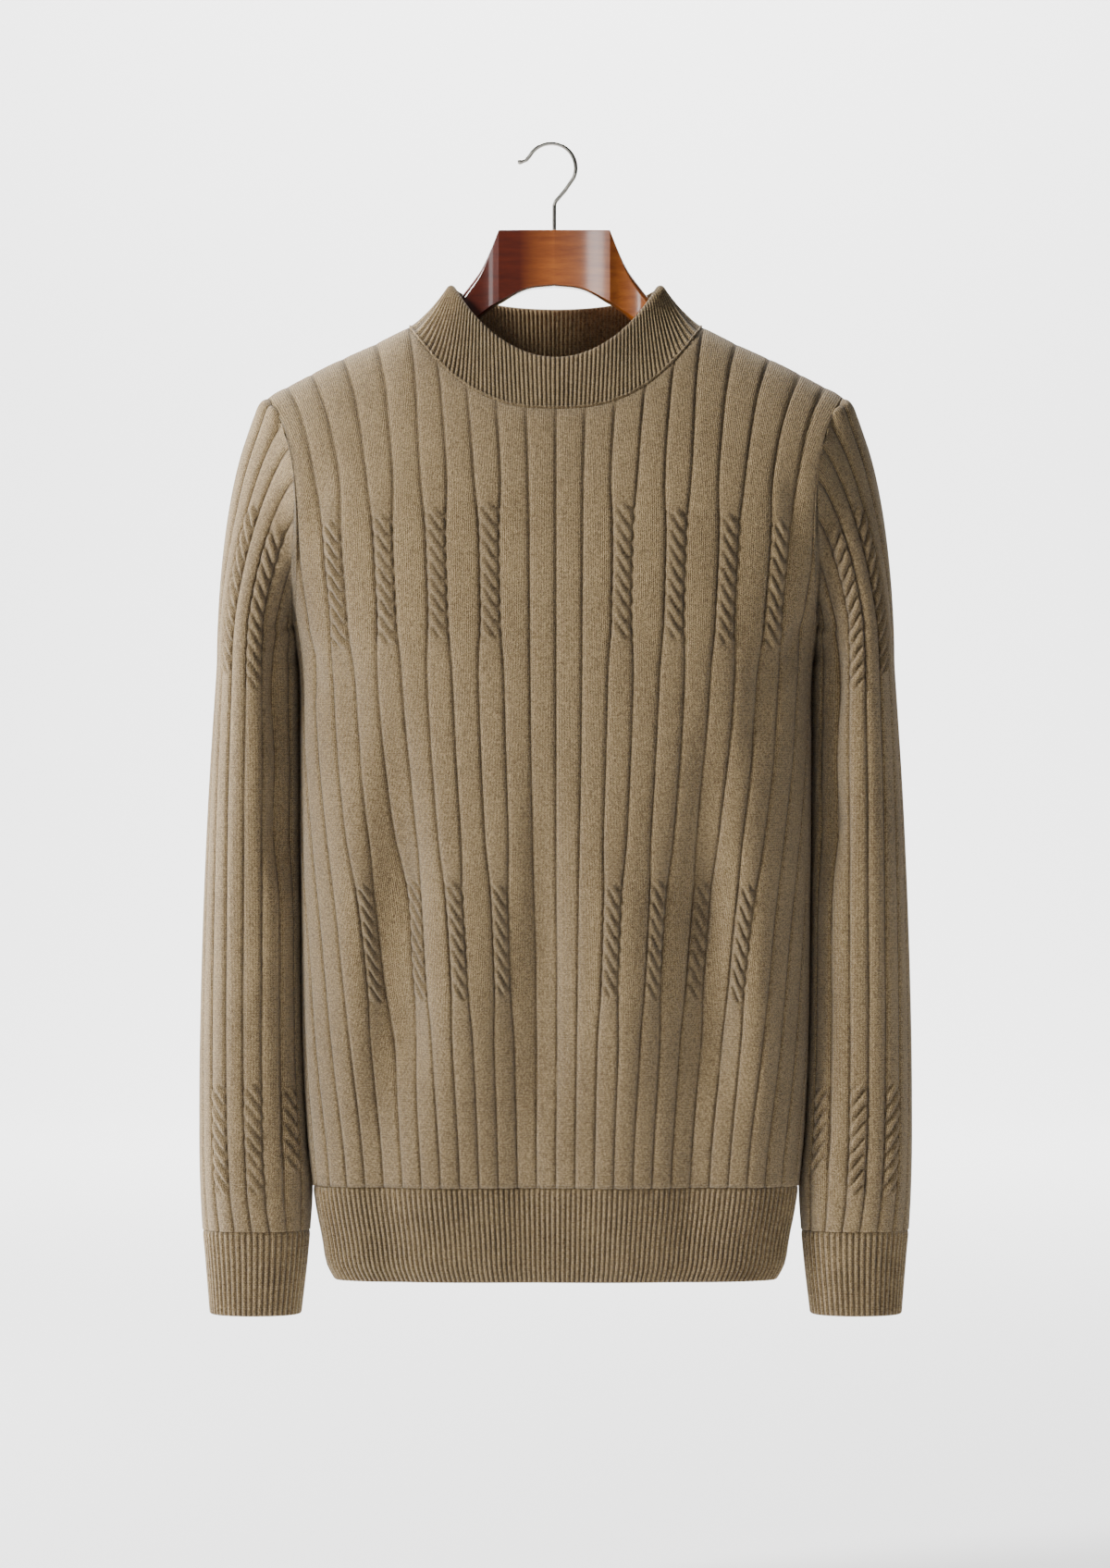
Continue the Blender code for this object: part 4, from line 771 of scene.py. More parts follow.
def panel(name, facing, shares, zones, creases):
    numbers = fine_numbers(range(-HALF_RIBS, HALF_RIBS), 0, zones, LEANING_RIBS)
    numbers = np.array(sorted(numbers + [float(HALF_RIBS), -TIP_RIB, TIP_RIB]))
    base = tip_fill(panel_form(facing, numbers, shares))
    outward = grid_normals(base, False, np.array([0, facing, 0]))
    height = base[..., 2]
    wale = np.tile(numbers, (len(shares), 1))
    below = height[-1:] - height
    near_top = 1 - ease(below / RIM_SHIFT_FROM)
    wale = wale + RIM_SHIFT * np.sign(wale) * near_top * np.exp(-(((np.abs(wale) - 9) / 0.9) ** 4))
    rise, groove_shade = ribbed_face(wale, height, RIB_WIDTH, zones, np.floor)
    rise = rise * ease(0.34 + below / RIB_ENDS)
    base = base - outward * crease_field(base, outward, creases)[..., None]
    depth = np.full_like(rise, WALL)
    wales = numbers * RIB_WALES
    return knit_shell(name, base, outward, rise, groove_shade, wales, INNER_STEP, depth, False, WOOL)


# ---------------------------------------------------------------- materials

LIGHT_YARN = (0.372, 0.270, 0.138, 1)
DARK_YARN = (0.108, 0.070, 0.031, 1)
# colour of the painted shade in grooves, furrows and the inner face
GROOVE_SHADE_COLOUR = (0.030, 0.017, 0.007, 1)


def new_material(name):
    """A new material, its node tree and its shader."""
    material = bpy.data.materials.new(name)
    material.use_nodes = True
    return material, material.node_tree, material.node_tree.nodes["Principled BSDF"]


def set_inputs(node, values):
    for name, value in values.items():
        node.inputs[name].default_value = value


def link_all(tree, *pairs):
    for source, end in pairs:
        tree.links.new(source, end)


def math_node(tree, operation, *values, clamp=False):
    node = tree.nodes.new("ShaderNodeMath")
    node.operation = operation
    node.use_clamp = clamp
    for slot, value in zip(node.inputs, values):
        if isinstance(value, (int, float)):
            slot.default_value = value
        else:
            tree.links.new(value, slot)
    return node.outputs[0]


def weighed(tree, start, *terms, clamp=False):
    """The start plus each of the values times its weight."""
    total = start
    for k, (value, weight) in enumerate(terms, 1):
        last = k == len(terms)
        total = math_node(tree, "MULTIPLY_ADD", value, weight, total, clamp=clamp and last)
    return total


def blend_colours(tree, amount, first, second):
    node = tree.nodes.new("ShaderNodeMix")
    node.data_type = "RGBA"
    sockets = {s.identifier: s for s in node.inputs}
    for key, value in (("Factor_Float", amount), ("A_Color", first), ("B_Color", second)):
        if isinstance(value, tuple):
            sockets[key].default_value = (*value, 1)
        else:
            tree.links.new(value, sockets[key])
    return next(s for s in node.outputs if s.identifier == "Result_Color")


def noise(tree, vector, scale, detail=2.0, rough=0.5):
    node = tree.nodes.new("ShaderNodeTexNoise")
    set_inputs(node, {"Scale": scale, "Detail": detail, "Roughness": rough})
    tree.links.new(vector, node.inputs["Vector"])
    return node.outputs["Fac"]


def add_bump(tree, shader, height, distance):
    bumps = tree.nodes.new("ShaderNodeBump")
    set_inputs(bumps, {"Strength": 1.0, "Distance": distance})
    link_all(tree, (height, bumps.inputs["Height"]), (bumps.outputs[0], shader.inputs["Normal"]))


def wool_group():
    """Plain knitted wool: heathered yarn, stitches in V pairs, painted shade in the grooves and a soft nap.
    """
    tree = bpy.data.node_groups.new("knitted_wool", "ShaderNodeTree")
    for name, kind, value in (
        ("Stitches", "Vector", (0, 0, 0)),
        ("Place", "Vector", (0, 0, 0)),
        ("Groove Shade", "Float", 0.0),
        ("Light Yarn", "Color", LIGHT_YARN),
        ("Dark Yarn", "Color", DARK_YARN),
        ("Painted Shade Colour", "Color", GROOVE_SHADE_COLOUR),
    ):
        made = tree.interface.new_socket(name, in_out="INPUT", socket_type="NodeSocket" + kind)
        made.default_value = value
    for name, kind in (("Base Color", "Color"), ("Roughness", "Float"), ("Bump Height", "Float")):
        tree.interface.new_socket(name, in_out="OUTPUT", socket_type="NodeSocket" + kind)
    given = tree.nodes.new("NodeGroupInput").outputs
    result = tree.nodes.new("NodeGroupOutput").inputs

    def fleck(scale, detail=2.0, rough=0.5):
        return noise(tree, given["Place"], scale, detail, rough)

    split = tree.nodes.new("ShaderNodeSeparateXYZ")
    tree.links.new(given["Stitches"], split.inputs[0])
    wale = weighed(tree, split.outputs["X"], (fleck(420.0, 1.0), 0.35))
    across = math_node(tree, "ABSOLUTE", math_node(tree, "SUBTRACT", math_node(tree, "FRACT", wale), 0.5))
    leg = weighed(tree, split.outputs["Y"], (across, -1.5))
    leg = math_node(tree, "SINE", math_node(tree, "MULTIPLY", leg, 2 * math.pi))
    gap = math_node(tree, "COSINE", math_node(tree, "MULTIPLY", across, 4 * math.pi))
    stitch = weighed(tree, 0.0, (leg, 0.28), (gap, -0.5))
    nap, clump = fleck(860.0, rough=0.6), fleck(300.0, rough=0.6)
    broad, shade_noise = fleck(14.0), fleck(38.0)
    height = weighed(tree, 0.0, (stitch, 0.55), (nap, 1.7), (clump, 0.6))
    # the stitch term lightens the legs and darkens between them in the colour: painted shade of the stitches;
    # the noises are the heathered yarn
    tone = weighed(tree, -1.22, (stitch, 0.55), (nap, 2.50), (clump, 0.35), (broad, 0.45), clamp=True)
    yarn = blend_colours(tree, tone, given["Dark Yarn"], given["Light Yarn"])
    # how much painted shade a groove gets, made uneven by a noise, not by wear
    deep = math_node(tree, "MULTIPLY", given["Groove Shade"], weighed(tree, 0.25, (shade_noise, 1.2)), clamp=True)
    link_all(
        tree,
        (blend_colours(tree, deep, yarn, given["Painted Shade Colour"]), result["Base Color"]),
        (weighed(tree, 0.86, (nap, 0.12)), result["Roughness"]),
        (height, result["Bump Height"]),
    )
    return tree


def wool_material(name, group, bump):
    material, tree, shader = new_material(name)
    face = tree.nodes.new("ShaderNodeGroup")
    face.node_tree = group
    set_inputs(face, {"Light Yarn": LIGHT_YARN, "Dark Yarn": DARK_YARN, "Painted Shade Colour": GROOVE_SHADE_COLOUR})
    place = tree.nodes.new("ShaderNodeTexCoord")
    stitches = tree.nodes.new("ShaderNodeUVMap")
    stitches.uv_map = "knit"
    groove_shade = tree.nodes.new("ShaderNodeAttribute")
    groove_shade.attribute_name = "groove_shade"
    link_all(
        tree,
        (stitches.outputs[0], face.inputs["Stitches"]),
        (place.outputs["Object"], face.inputs["Place"]),
        (groove_shade.outputs["Fac"], face.inputs["Groove Shade"]),
        (face.outputs["Base Color"], shader.inputs["Base Color"]),
        (face.outputs["Roughness"], shader.inputs["Roughness"]),
    )
    add_bump(tree, shader, face.outputs["Bump Height"], bump)
    set_inputs(shader, {"Sheen Weight": 0.18, "Sheen Roughness": 0.5, "Specular IOR Level": 0.2})
    return material


wool = wool_group()
WOOL = wool_material("wool_knit", wool, 0.0007)
RIB_WOOL = wool_material("wool_rib", wool, 0.0005)


# ---------------------------------------------------------------- front and back

# each a line of (x, z) points, its half width and its depth inwards
FRONT_CREASES = (
    (((-0.178, -0.348), (-0.166, -0.405)), 0.0055, 0.0035),
    (((0.177, -0.336), (0.163, -0.380)), 0.0055, 0.0035),
    (((-0.152, -0.350), (-0.140, -0.460)), 0.0120, 0.0030),
    (((0.150, -0.350), (0.143, -0.450)), 0.0120, 0.0030),
    (((-0.165, -0.220), (-0.174, -0.310)), 0.0090, 0.0020),
    (((0.165, -0.220), (0.175, -0.310)), 0.0090, 0.0020),
    (((-0.112, -0.380), (-0.108, -0.560), (-0.106, -0.728)), 0.0170, 0.0120),
    (((-0.146, -0.420), (-0.144, -0.728)), 0.0160, -0.0036),
    (((-0.062, -0.480), (-0.066, -0.728)), 0.0170, -0.0034),
    (((-0.014, -0.420), (-0.008, -0.560), (-0.006, -0.728)), 0.0160, 0.0090),
    (((0.046, -0.440), (0.050, -0.728)), 0.0200, -0.0044),
    (((0.106, -0.390), (0.110, -0.560), (0.116, -0.728)), 0.0165, 0.0105),
    (((0.146, -0.480), (0.148, -0.728)), 0.0140, -0.0034),
)
BACK_CREASES = (
    (((-0.178, -0.348), (-0.160, -0.415)), 0.0060, 0.0035),
    (((0.177, -0.340), (0.158, -0.395)), 0.0060, 0.0035),
    (((-0.140, -0.230), (-0.150, -0.330)), 0.0110, 0.0026),
    (((0.140, -0.230), (0.152, -0.340)), 0.0110, 0.0026),
    (((-0.112, -0.400), (-0.104, -0.728)), 0.0170, 0.0070),
    (((-0.040, -0.540), (-0.030, -0.715)), 0.0110, 0.0030),
    (((0.045, -0.500), (0.036, -0.715)), 0.0110, -0.0020),
    (((0.110, -0.430), (0.120, -0.715)), 0.0110, 0.0042),
)
front_zones = {}
for rib, top_1, end_1, top_2, end_2 in FRONT_CABLES:
    front_zones[rib] = ((top_1, end_1), (top_2, end_2))
    front_zones[-rib - 1] = ((top_1, end_1), (top_2, end_2))
CABLE_SPANS = ((-0.254, -0.372), (-0.524, -0.622))  # heights that hold cables
# heights of a row where it is plain and in the cables, then the number of rows over the knee
FRONT_ROWS = (0.0042, 0.0012, 30)
BACK_ROWS = (0.0055, 0.0055, 20)
front = panel("knit_front", -1, level_rows(CABLE_SPANS, *FRONT_ROWS), front_zones, FRONT_CREASES)
back = panel("knit_back", 1, level_rows((), *BACK_ROWS), {}, BACK_CREASES)


# ---------------------------------------------------------------- sleeves

SLEEVE_CREASES = (
    (((0.208, -0.295), (0.201, -0.350), (0.197, -0.420), (0.197, -0.560)), 0.0120, 0.0085),
    (((0.212, -0.420), (0.222, -0.500)), 0.0100, -0.0014),
    (((0.205, -0.560), (0.222, -0.630)), 0.0100, -0.0014),
    (((0.200, -0.700), (0.226, -0.745)), 0.0080, 0.0020),
    (((0.196, -0.740), (0.214, -0.772)), 0.0060, 0.0018),
)
SLEEVE_SPANS = ((-0.250, -0.402), (-0.666, -0.762))  # heights that hold cables
SLEEVE_ROW = 0.0045  # height of a row
CABLE_ROW = 0.0013  # and where it is close to the armhole or in a cable
CAP_SMOOTHINGS = 36
BODY_CLEARANCE = 0.0016
UNDERARM_FILL = 0.0014


def sleeve_rows(heights, reach):
    """Places down the sleeve, as distances: close together near the armhole and where the cables are."""
    at, rows = 0.0, []
    while at < reach[-1]:
        rows.append(at)
        z = np.interp(at, reach, heights)
        near = at < 0.012
        at += CABLE_ROW if near or any(end < z < top for top, end in SLEEVE_SPANS) else SLEEVE_ROW
    return np.array(rows + [reach[-1]])


def body_touch(points, side):
    """How far the sleeve's inner side lies over to the body, until just clear of it."""
    heights = np.linspace(CUFF_SEAM_Z, BICEP_Z + 0.02, 41)
    gaps, outers, widths = [], [], []
    for z in heights:
        outer, inner = follow(SLEEVE_SECTIONS, z)[:2]
        gaps.append(max(inner - follow(BODY_SECTIONS, max(z, HEM_SEAM_Z))[0] - BODY_CLEARANCE, 0))
        outers.append(outer)
        widths.append(outer - inner)
    x, z = side * (points[..., 0] - GARMENT_X), points[..., 2]
    gap = np.interp(z, heights, gaps)
    gap = gap * ease((UNDERARM_Z + 0.005 - z) / 0.006) * ease((z - CUFF_SEAM_Z) / 0.05)
    gap = gap + UNDERARM_FILL * bell(z - UNDERARM_Z + 0.004, 0.008)
    off = (np.interp(z, heights, outers) - x) / np.interp(z, heights, widths)
    return gap * np.clip(off, 0, 1) ** 2


def sleeve(name, side):
    form = Sleeve(side)
    coarse = np.linspace(-SLEEVE_HALF_RIBS, SLEEVE_HALF_RIBS, 97)[:-1]
    shares = np.concatenate([np.linspace(0, 1, 25) ** 1.35, np.linspace(1, 2, 21)[1:]])
    grid = np.array([[form.point(round(float(n), 6), float(s)) for n in coarse] for s in shares])
    hold = ease((shares - 0.01) / 0.25) * ease((1.3 - shares) / 0.4)
    for _ in range(CAP_SMOOTHINGS):
        soft = (np.roll(grid, 1, axis=1) + 2 * grid + np.roll(grid, -1, axis=1)) / 4
        grid = grid + (soft - grid) * (hold * (0.35 + 0.65 * ease(shares / 0.3)))[:, None, None]
    grid = tip_fill(grid)
    line = grid[:, len(coarse) // 3]
    reach = reach_along(line)
    down = sleeve_rows(line[:, 2], reach)
    grid = smooth_rows(grid, np.interp(down, reach, np.arange(len(reach))))
    zones = {}
    for rib, top, end in SLEEVE_CABLES:
        for number in (rib, -rib):
            zones.setdefault(number - 0.5, []).append((top, end))
    numbers = np.array(fine_numbers(range(1 - SLEEVE_HALF_RIBS, SLEEVE_HALF_RIBS + 1), -0.5, zones))
    base = smooth_round(grid, (numbers + SLEEVE_HALF_RIBS) / (coarse[1] - coarse[0]))
    outward = grid_normals(base, True, base - base.mean(axis=1, keepdims=True))
    around = np.tile(numbers, (len(down), 1))
    rise, groove_shade = ribbed_face(
        around, base[..., 2], SLEEVE_RIB_WIDTH, zones, lambda n: np.floor(n + 0.5) - 0.5
    )
    rise = rise * ease(0.34 + down / RIB_ENDS)[:, None]
    creases = [([(side * x, z) for x, z in line], width, depth) for line, width, depth in SLEEVE_CREASES]
    base = base - outward * crease_field(base, outward, creases)[..., None]
    base[..., 0] -= side * body_touch(base, side)
    wales = (np.append(numbers, numbers[0] + 2 * SLEEVE_HALF_RIBS) + SLEEVE_HALF_RIBS) * SLEEVE_RIB_WALES
    depth = np.full_like(rise, WALL)
    return knit_shell(name, base, outward, rise, groove_shade, wales, INNER_STEP, depth, True, WOOL)


sleeve_left = sleeve("knit_sleeve_left", -1)
sleeve_right = sleeve("knit_sleeve_right", 1)


# ---------------------------------------------------------------- collar, hem and cuffs

# shares of a tube's height from its seam: close together at the rim, and where the chain of stitches lies
RIM_SHARES = (
    (0.0, 0.012, 0.03, 0.06, 0.14, 0.26, 0.38, 0.50, 0.62, 0.74, 0.84)
    + (0.90, 0.935, 0.953, 0.968, 0.980, 0.989, 0.995, 0.9985, 1.0)
)
CHAIN_SHARES = (0.0, 0.008, 0.016, 0.024, 0.032, 0.040, 0.048, 0.056, 0.066, 0.078, 0.095) + RIM_SHARES[4:]
CHAIN_AT = 0.036
CHAIN_WIDE = 0.034
COLLAR_THICK = 0.0034  # added by its turned-in layer
BAND_THICK = 0.0008  # the same for the hem and the cuffs


def fine_tube(name, surface, middle, ribs, shares, thick, chain=0):
    """A tube in single rib. surface(turn, share) is its form without ribs, from the seam to the free edge.

    thick is how much its folded double layer adds. A chain is the raised row of linking stitches along
    its seam, as many as that number says."""
    turns, rows = 96, 14
    grid = np.array([[surface(t / turns, s) for t in range(turns)] for s in np.linspace(0, 1, rows)])
    steps = ribs * FINE_STEPS
    along = np.array(shares)
    base = smooth_rows(smooth_round(grid, np.arange(steps) / steps * turns), along * (rows - 1))
    outward = grid_normals(base, True, base - middle)
    turn = np.arange(steps) / FINE_STEPS
    flat = (0.5 - 0.5 * np.cos(2 * math.pi * turn)) ** 0.8
    hold = ease(along / 0.05)
    rise = np.outer(0.30 + 0.70 * hold, flat) * FINE_RIB - 0.0003
    rise = rise + (thick * 0.35 * ease(along / 0.5))[:, None]
    depth = np.outer(hold, flat) * FINE_RIB * 0.9 + (WALL + thick * 0.65 * hold)[:, None]
    # painted shade in the furrows between the fine ribs
    groove_shade = np.outer(np.ones(len(shares)), (1 - flat) ** 1.5 * 0.95)
    if chain:
        band = bell(along - CHAIN_AT, CHAIN_WIDE / 2)[:, None]
        slant = turn / ribs * chain + 3.0 * np.abs(along - CHAIN_AT)[:, None] / CHAIN_WIDE
        link = np.abs(np.sin(math.pi * slant))
        rise = rise * (1 - 0.8 * band) + band * (0.0004 + 0.0013 * link**0.7)
        # painted shade between the links of the chain and along its lips
        lips = bell(along - 0.076, 0.012) + bell(along, 0.008)
        groove_shade = groove_shade * (1 - band) + band * 0.8 * (1 - link) ** 1.2
        groove_shade = np.maximum(groove_shade, lips[:, None] * 0.75)
    else:
        # painted shade along the seam
        groove_shade = np.maximum(groove_shade, bell(along, 0.015)[:, None] * 0.8)
    length = np.linalg.norm(np.diff(base, axis=0), axis=2).sum(axis=0).mean()
    edge = thick * 0.5 + WALL * 0.5 + FINE_RIB * 0.6
    close = np.sqrt(1 - np.clip((along - 1 + edge / length) * length / edge, 0, 1) ** 2)[:, None]
    middle_line = (rise - depth) / 2
    rise = middle_line + (rise - middle_line) * close
    depth = -middle_line + (depth + middle_line) * close
    wales = np.arange(steps + 1) / FINE_STEPS * 2 + 0.25
    return knit_shell(name, base, outward, rise, groove_shade, wales, 2, depth, True, RIB_WOOL)


def collar_surface():
    """The collar, from the seam round the neck to the rim, which dips in front and a little behind."""
    ribs = [NECK_RIB * i / 40 for i in range(41)]
    front, back, left_front, left_back = (
        [edge_point(facing, side * rib) for rib in ribs] for side in (1, -1) for facing in (-1, 1)
    )
    right, left = (front[-1] + back[-1]) / 2, (left_front[-1] + left_back[-1]) / 2
    ring = front[:-1] + [right] + back[:-1][::-1] + left_back[1:-1] + [left] + left_front[1:-1][::-1]

    def surface(turn, share):
        low = ring_point(ring, turn)
        sideways, forward = math.sin(2 * math.pi * turn), math.cos(2 * math.pi * turn)
        if forward > 0:
            y, dip = COLLAR_FRONT_Y * forward, COLLAR_FRONT_DIP * forward**1.8
        else:
            y, dip = COLLAR_BACK_Y * -forward, COLLAR_BACK_DIP * -forward
        dip += 0.0026 * bell(forward, 0.30) - 0.0042 * bell(forward, 0.60)  # where the fold peaks
        high = np.array([GARMENT_X + COLLAR_TOP_X * sideways, y, COLLAR_SIDE_Z - dip])
        sag = np.array([0, 0, -0.004 * abs(sideways) * 4 * share * (1 - share)])
        return low * (1 - share) + high * share + sag

    return surface


def hem_surface():
    """The hem band, drawn in below its seam, with the front's folds fading down it."""
    half = [HALF_RIBS * (60 - i) / 60 for i in range(121)]
    front, back = (np.array([body_point(facing, rib, HEM_SEAM_Z) for rib in half]) for facing in (-1, 1))
    ring = shared_ring(front, back)

    def surface(turn, share):
        low = ring_point(ring, turn)
        wide, deep = follow(HEM_TAPER, share)
        drop = (HEM_SEAM_Z - HEM_END_Z) * share
        fold = fold_depth(-1, low[0] - GARMENT_X, low[2]) if low[1] < -0.02 else 0.0
        y = (low[1] - fold) * deep + fold * (1 - 0.6 * share)
        return np.array([GARMENT_X + (low[0] - GARMENT_X) * wide, y, low[2] - drop])

    return surface


def cuff_surface(side):
    """A cuff, on the sleeve's own sections from its seam down."""
    turns = np.arange(96) / 96
    ring = [sleeve_section(side, SLEEVE_HALF_RIBS * (2 * turn - 1), CUFF_SEAM_Z) for turn in turns]
    seam_outer, seam_inner, seam_depth, _ = follow(SLEEVE_SECTIONS, CUFF_SEAM_Z)

    def surface(turn, share):
        low = ring_point(ring, turn)
        off = low - cuff_middle(side, CUFF_SEAM_Z)
        z = CUFF_SEAM_Z + (CUFF_END_Z - CUFF_SEAM_Z) * share
        outer, inner, half_depth, _ = follow(SLEEVE_SECTIONS, z)
        wide, deep = (outer - inner) / (seam_outer - seam_inner), half_depth / seam_depth
        x, y, _ = cuff_middle(side, z)
        return np.array([x + off[0] * wide, y + off[1] * deep, low[2] - (CUFF_SEAM_Z - z)])

    return surface


collar = fine_tube(
    "knit_collar", collar_surface(), np.array([GARMENT_X, 0, -0.16]), COLLAR_RIBS, CHAIN_SHARES, COLLAR_THICK,
    chain=COLLAR_CHAIN,
)
hem = fine_tube("knit_hem", hem_surface(), np.array([GARMENT_X, 0, -0.78]), HEM_RIBS, RIM_SHARES, BAND_THICK)
cuff_left, cuff_right = (
    fine_tube(name, cuff_surface(side), cuff_middle(side, -0.81), CUFF_RIBS, RIM_SHARES, BAND_THICK)
    for name, side in (("knit_cuff_left", -1), ("knit_cuff_right", 1))
)

for piece, node in (
    (front, "front"),
    (back, "back"),
    (sleeve_left, "sleeve_left"),
    (sleeve_right, "sleeve_right"),
    (collar, "collar"),
    (hem, "hem_rib"),
    (cuff_left, "cuff_left"),
    (cuff_right, "cuff_right"),
):
    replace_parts(piece, node)


# ---------------------------------------------------------------- hanger

JOINT_GLOW = 0.025  # the left half is lighter this near to the joint
DARK_WOOD = ((0.036, 0.004, 0.002), (0.110, 0.016, 0.004))
AMBER_WOOD = ((0.230, 0.050, 0.008), (0.680, 0.220, 0.035))


def wood_material():
    """Lacquered red-brown wood, lighter downwards, and darker on the left half away from the joint."""
    material, tree, shader = new_material("lacquered_wood")
    place = tree.nodes.new("ShaderNodeTexCoord")
    stretch = tree.nodes.new("ShaderNodeMapping")
    stretch.inputs["Scale"].default_value = (1.0, 9.0, 9.0)
    split = tree.nodes.new("ShaderNodeSeparateXYZ")
    link_all(
        tree,
        (place.outputs["Object"], stretch.inputs["Vector"]),
        (place.outputs["Object"], split.inputs[0]),
    )
    grain = noise(tree, stretch.outputs[0], 26.0, 5.0, 0.6)
    pores = noise(tree, stretch.outputs[0], 190.0, 2.0, 0.7)
    tone = weighed(tree, -0.45, (grain, 1.25), (pores, 0.35), clamp=True)
    along = math_node(tree, "SUBTRACT", split.outputs["X"], HANGER_X)
    right_half = math_node(tree, "MULTIPLY", along, 3000.0, clamp=True)
    to_joint = weighed(tree, 1.0, (along, 1 / JOINT_GLOW), clamp=True)
    low = weighed(tree, -1.05, (split.outputs["Z"], -16.0), clamp=True)
    left_light = math_node(tree, "MULTIPLY", to_joint, weighed(tree, 0.5, (low, 0.5)))
    dark = blend_colours(tree, tone, *DARK_WOOD)
    amber = blend_colours(tree, tone, *AMBER_WOOD)
    left = blend_colours(tree, left_light, dark, amber)
    right = blend_colours(tree, weighed(tree, 0.4, (low, 0.6)), dark, amber)
    tree.links.new(blend_colours(tree, right_half, left, right), shader.inputs["Base Color"])
    add_bump(tree, shader, pores, 0.00006)
    set_inputs(shader, {"Roughness": 0.28, "Coat Weight": 1.0, "Coat Roughness": 0.09})
    return material


def wire_material():
    material, tree, shader = new_material("bright_wire")
    place = tree.nodes.new("ShaderNodeTexCoord")
    marks = noise(tree, place.outputs["Object"], 900.0, 3.0, 0.6)
    colour = blend_colours(tree, marks, (0.26, 0.24, 0.21), (0.42, 0.40, 0.36))
    rough = weighed(tree, 0.14, (marks, 0.14))
    link_all(tree, (colour, shader.inputs["Base Color"]), (rough, shader.inputs["Roughness"]))
    shader.inputs["Metallic"].default_value = 1.0
    return material


BLOCK_ROW = 2  # the row of ARM_SECTIONS where the block's front face ends in a crease
BLOCK_STEPS = 12
ARM_STEPS = 60
ROUND_STEPS = 24
BLOCK_BULGE = 0.0020
SHARP_ANGLE = 50  # degrees


def arm_outline(top, low, half, back, top_round, low_round):
    """(y, z) points round a section of the arm, with a small flat beside each rounding."""
    outline = []
    for turn, level, rounding in ((1, top - top_round, top_round), (-1, low + low_round, low_round)):
        for i in range(ROUND_STEPS + 1):
            angle = math.pi * i / ROUND_STEPS
            outline.append((back + turn * half * math.cos(angle), level + turn * rounding * math.sin(angle)))
    flat_top, flat_low = top - top_round - 0.0004, low + low_round + 0.0004
    outline[ROUND_STEPS + 1 : ROUND_STEPS + 1] = [(back - half, flat_top), (back - half, flat_low)]
    return outline + [(back + half, flat_low), (back + half, flat_top)]


def wood_half(name, side, material):
    """One half of the hanger with finer curves: a smooth arch, domed arms and a crisp crease."""
    rows = arm_rows()
    block_end, arm_end = rows[BLOCK_ROW][0], rows[-1][0]
    places = list(np.linspace(0, block_end, BLOCK_STEPS + 1))
    places += list(np.linspace(block_end, arm_end, ARM_STEPS + 1)[1:])
    rings = []
    for x in places:
        top, low, half, back, top_round, low_round = follow(
            rows[: BLOCK_ROW + 1] if x <= block_end else rows[BLOCK_ROW:], x
        )
        half += BLOCK_BULGE * (1 - min(x / block_end, 1) ** 2)
        outline = arm_outline(top, low, half, back, top_round, low_round)
        rings.append([(HANGER_X + side * x, y, z) for y, z in outline])
    last = rings[-1]
    middle = (min(z for _, _, z in last) + max(z for _, _, z in last)) / 2
    for share in (0.35, 0.65, 0.87, 0.97):
        shrink = math.sqrt(1 - share * share)
        x = HANGER_X + side * (arm_end + (ARM_END - arm_end) * share)
        rings.append([(x, back + (y - back) * shrink, middle + (z - middle) * shrink) for _, y, z in last])
    count = len(last)
    faces = []
    for start in range(0, (len(rings) - 1) * count, count):
        for i in range(count):
            a, b = start + i, start + (i + 1) % count
            faces.append((a, b, b + count, a + count))
    faces.append(tuple(range(count))[::-1])
    faces.append(tuple(range((len(rings) - 1) * count, len(rings) * count)))
    faces = faces if side < 0 else [face[::-1] for face in faces]
    piece = new_piece(name, sum(rings, []), faces, material)
    piece.data.set_sharp_from_angle(angle=math.radians(SHARP_ANGLE))
    crease = range(BLOCK_STEPS * count, (BLOCK_STEPS + 1) * count)
    for edge in piece.data.edges:
        if edge.vertices[0] in crease and edge.vertices[1] in crease:
            edge.use_edge_sharp = True
    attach(piece, "root")
    return piece


WOOD = wood_material()
for side, node in ((-1, "hanger_left"), (1, "hanger_right")):
    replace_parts(wood_half("wood_" + node, side, WOOD), node)
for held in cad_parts["hook"].material_slots:
    held.material = wire_material()


# ---------------------------------------------------------------- camera, stage and light

VIEW_MIDDLE = (0.0030, -0.4603)  # x and z
VIEW_HEIGHT = 1.130  # of what the picture shows at the garment
VIEW_FROM = 4.2
SENSOR = 36.0  # millimetres

camera_data = bpy.data.cameras.new("camera")
camera_data.lens = SENSOR * VIEW_FROM / VIEW_HEIGHT
camera_data.clip_end = 60
camera = bpy.data.objects.new("camera", camera_data)
camera.location = (VIEW_MIDDLE[0], -VIEW_FROM, VIEW_MIDDLE[1])
camera.rotation_euler = (math.pi / 2, 0, 0)
bpy.context.collection.objects.link(camera)
bpy.context.scene.camera = camera

STAGE_HALF_WIDTH = 8.0
FLOOR_Z = -1.06
FLOOR_END = 6.3  # where the floor starts to curve up
CURVE = 1.4  # radius
WALL_TOP = 5.0
WORLD_STRENGTH = 0.06
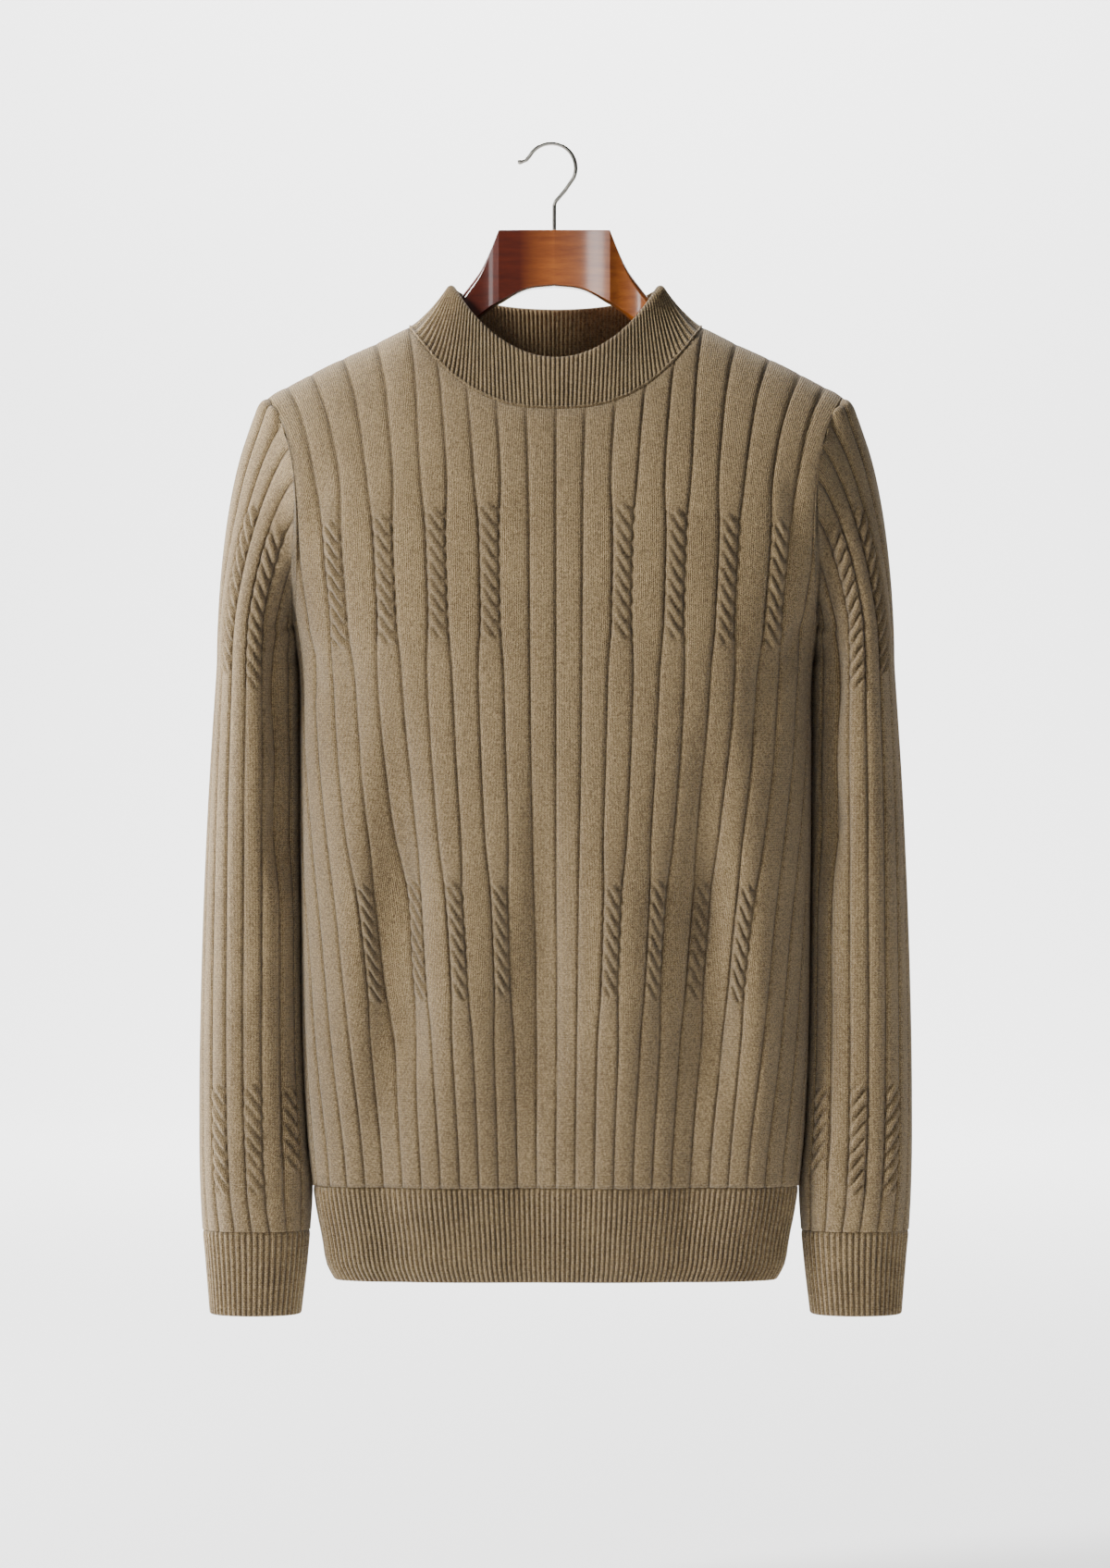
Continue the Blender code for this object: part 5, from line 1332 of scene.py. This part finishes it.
# name, place, what it points at, width and height, watts, spread in degrees
LAMPS = (
    ("key", (-3.2, -1.65, 1.9), (0.02, 0, -0.24), (1.0, 1.2), 46, 60),
    ("rim", (-3.0, 1.1, 0.2), (0, 0, -0.45), (1.0, 1.6), 300, 180),
    ("facet", (-1.75, -2.5, 0.35), (0, 0, -0.10), (0.5, 0.9), 5, 180),
    ("gloss", (0.56, -3.4, 0.22), (0, 0, -0.10), (0.22, 0.9), 7, 180),
    ("over", (0, 3.6, 2.8), (0, 3.3, -1.0), (2.6, 4.4), 500, 180),
    ("wall", (0, 5.2, 2.8), (0, 7.7, -0.1), (4.0, 1.0), 480, 180),
)


def stage():
    """A pale floor that curves up far behind, past any camera that looks at the back."""
    profile = [(-STAGE_HALF_WIDTH, FLOOR_Z), (FLOOR_END, FLOOR_Z)]
    for i in range(1, 17):
        angle = math.pi / 2 * i / 16
        profile.append((FLOOR_END + CURVE * math.sin(angle), FLOOR_Z + CURVE * (1 - math.cos(angle))))
    profile.append((FLOOR_END + CURVE, WALL_TOP))
    points, faces = [], []
    for y, z in profile:
        points += [(-STAGE_HALF_WIDTH, y, z), (STAGE_HALF_WIDTH, y, z)]
    for i in range(len(profile) - 1):
        faces.append((2 * i, 2 * i + 1, 2 * i + 3, 2 * i + 2))
    material, _, shader = new_material("pale_stage")
    set_inputs(shader, {"Base Color": (0.86, 0.86, 0.86, 1), "Roughness": 0.95})
    new_piece("stage", points, faces, material)


def soft_light(name, place, target, size, watts, spread):
    data = bpy.data.lights.new(name, "AREA")
    data.shape = "RECTANGLE"
    data.size, data.size_y = size
    data.energy = watts
    data.spread = math.radians(spread)
    lamp = bpy.data.objects.new(name, data)
    lamp.location = place
    lamp.rotation_euler = (Vector(target) - Vector(place)).to_track_quat("-Z", "Y").to_euler()
    bpy.context.collection.objects.link(lamp)


stage()
for lamp in LAMPS:
    soft_light(*lamp)
world = bpy.data.worlds.new("studio")
world.use_nodes = True
set_inputs(world.node_tree.nodes["Background"], {"Color": (1, 1, 1, 1), "Strength": WORLD_STRENGTH})
bpy.context.scene.world = world
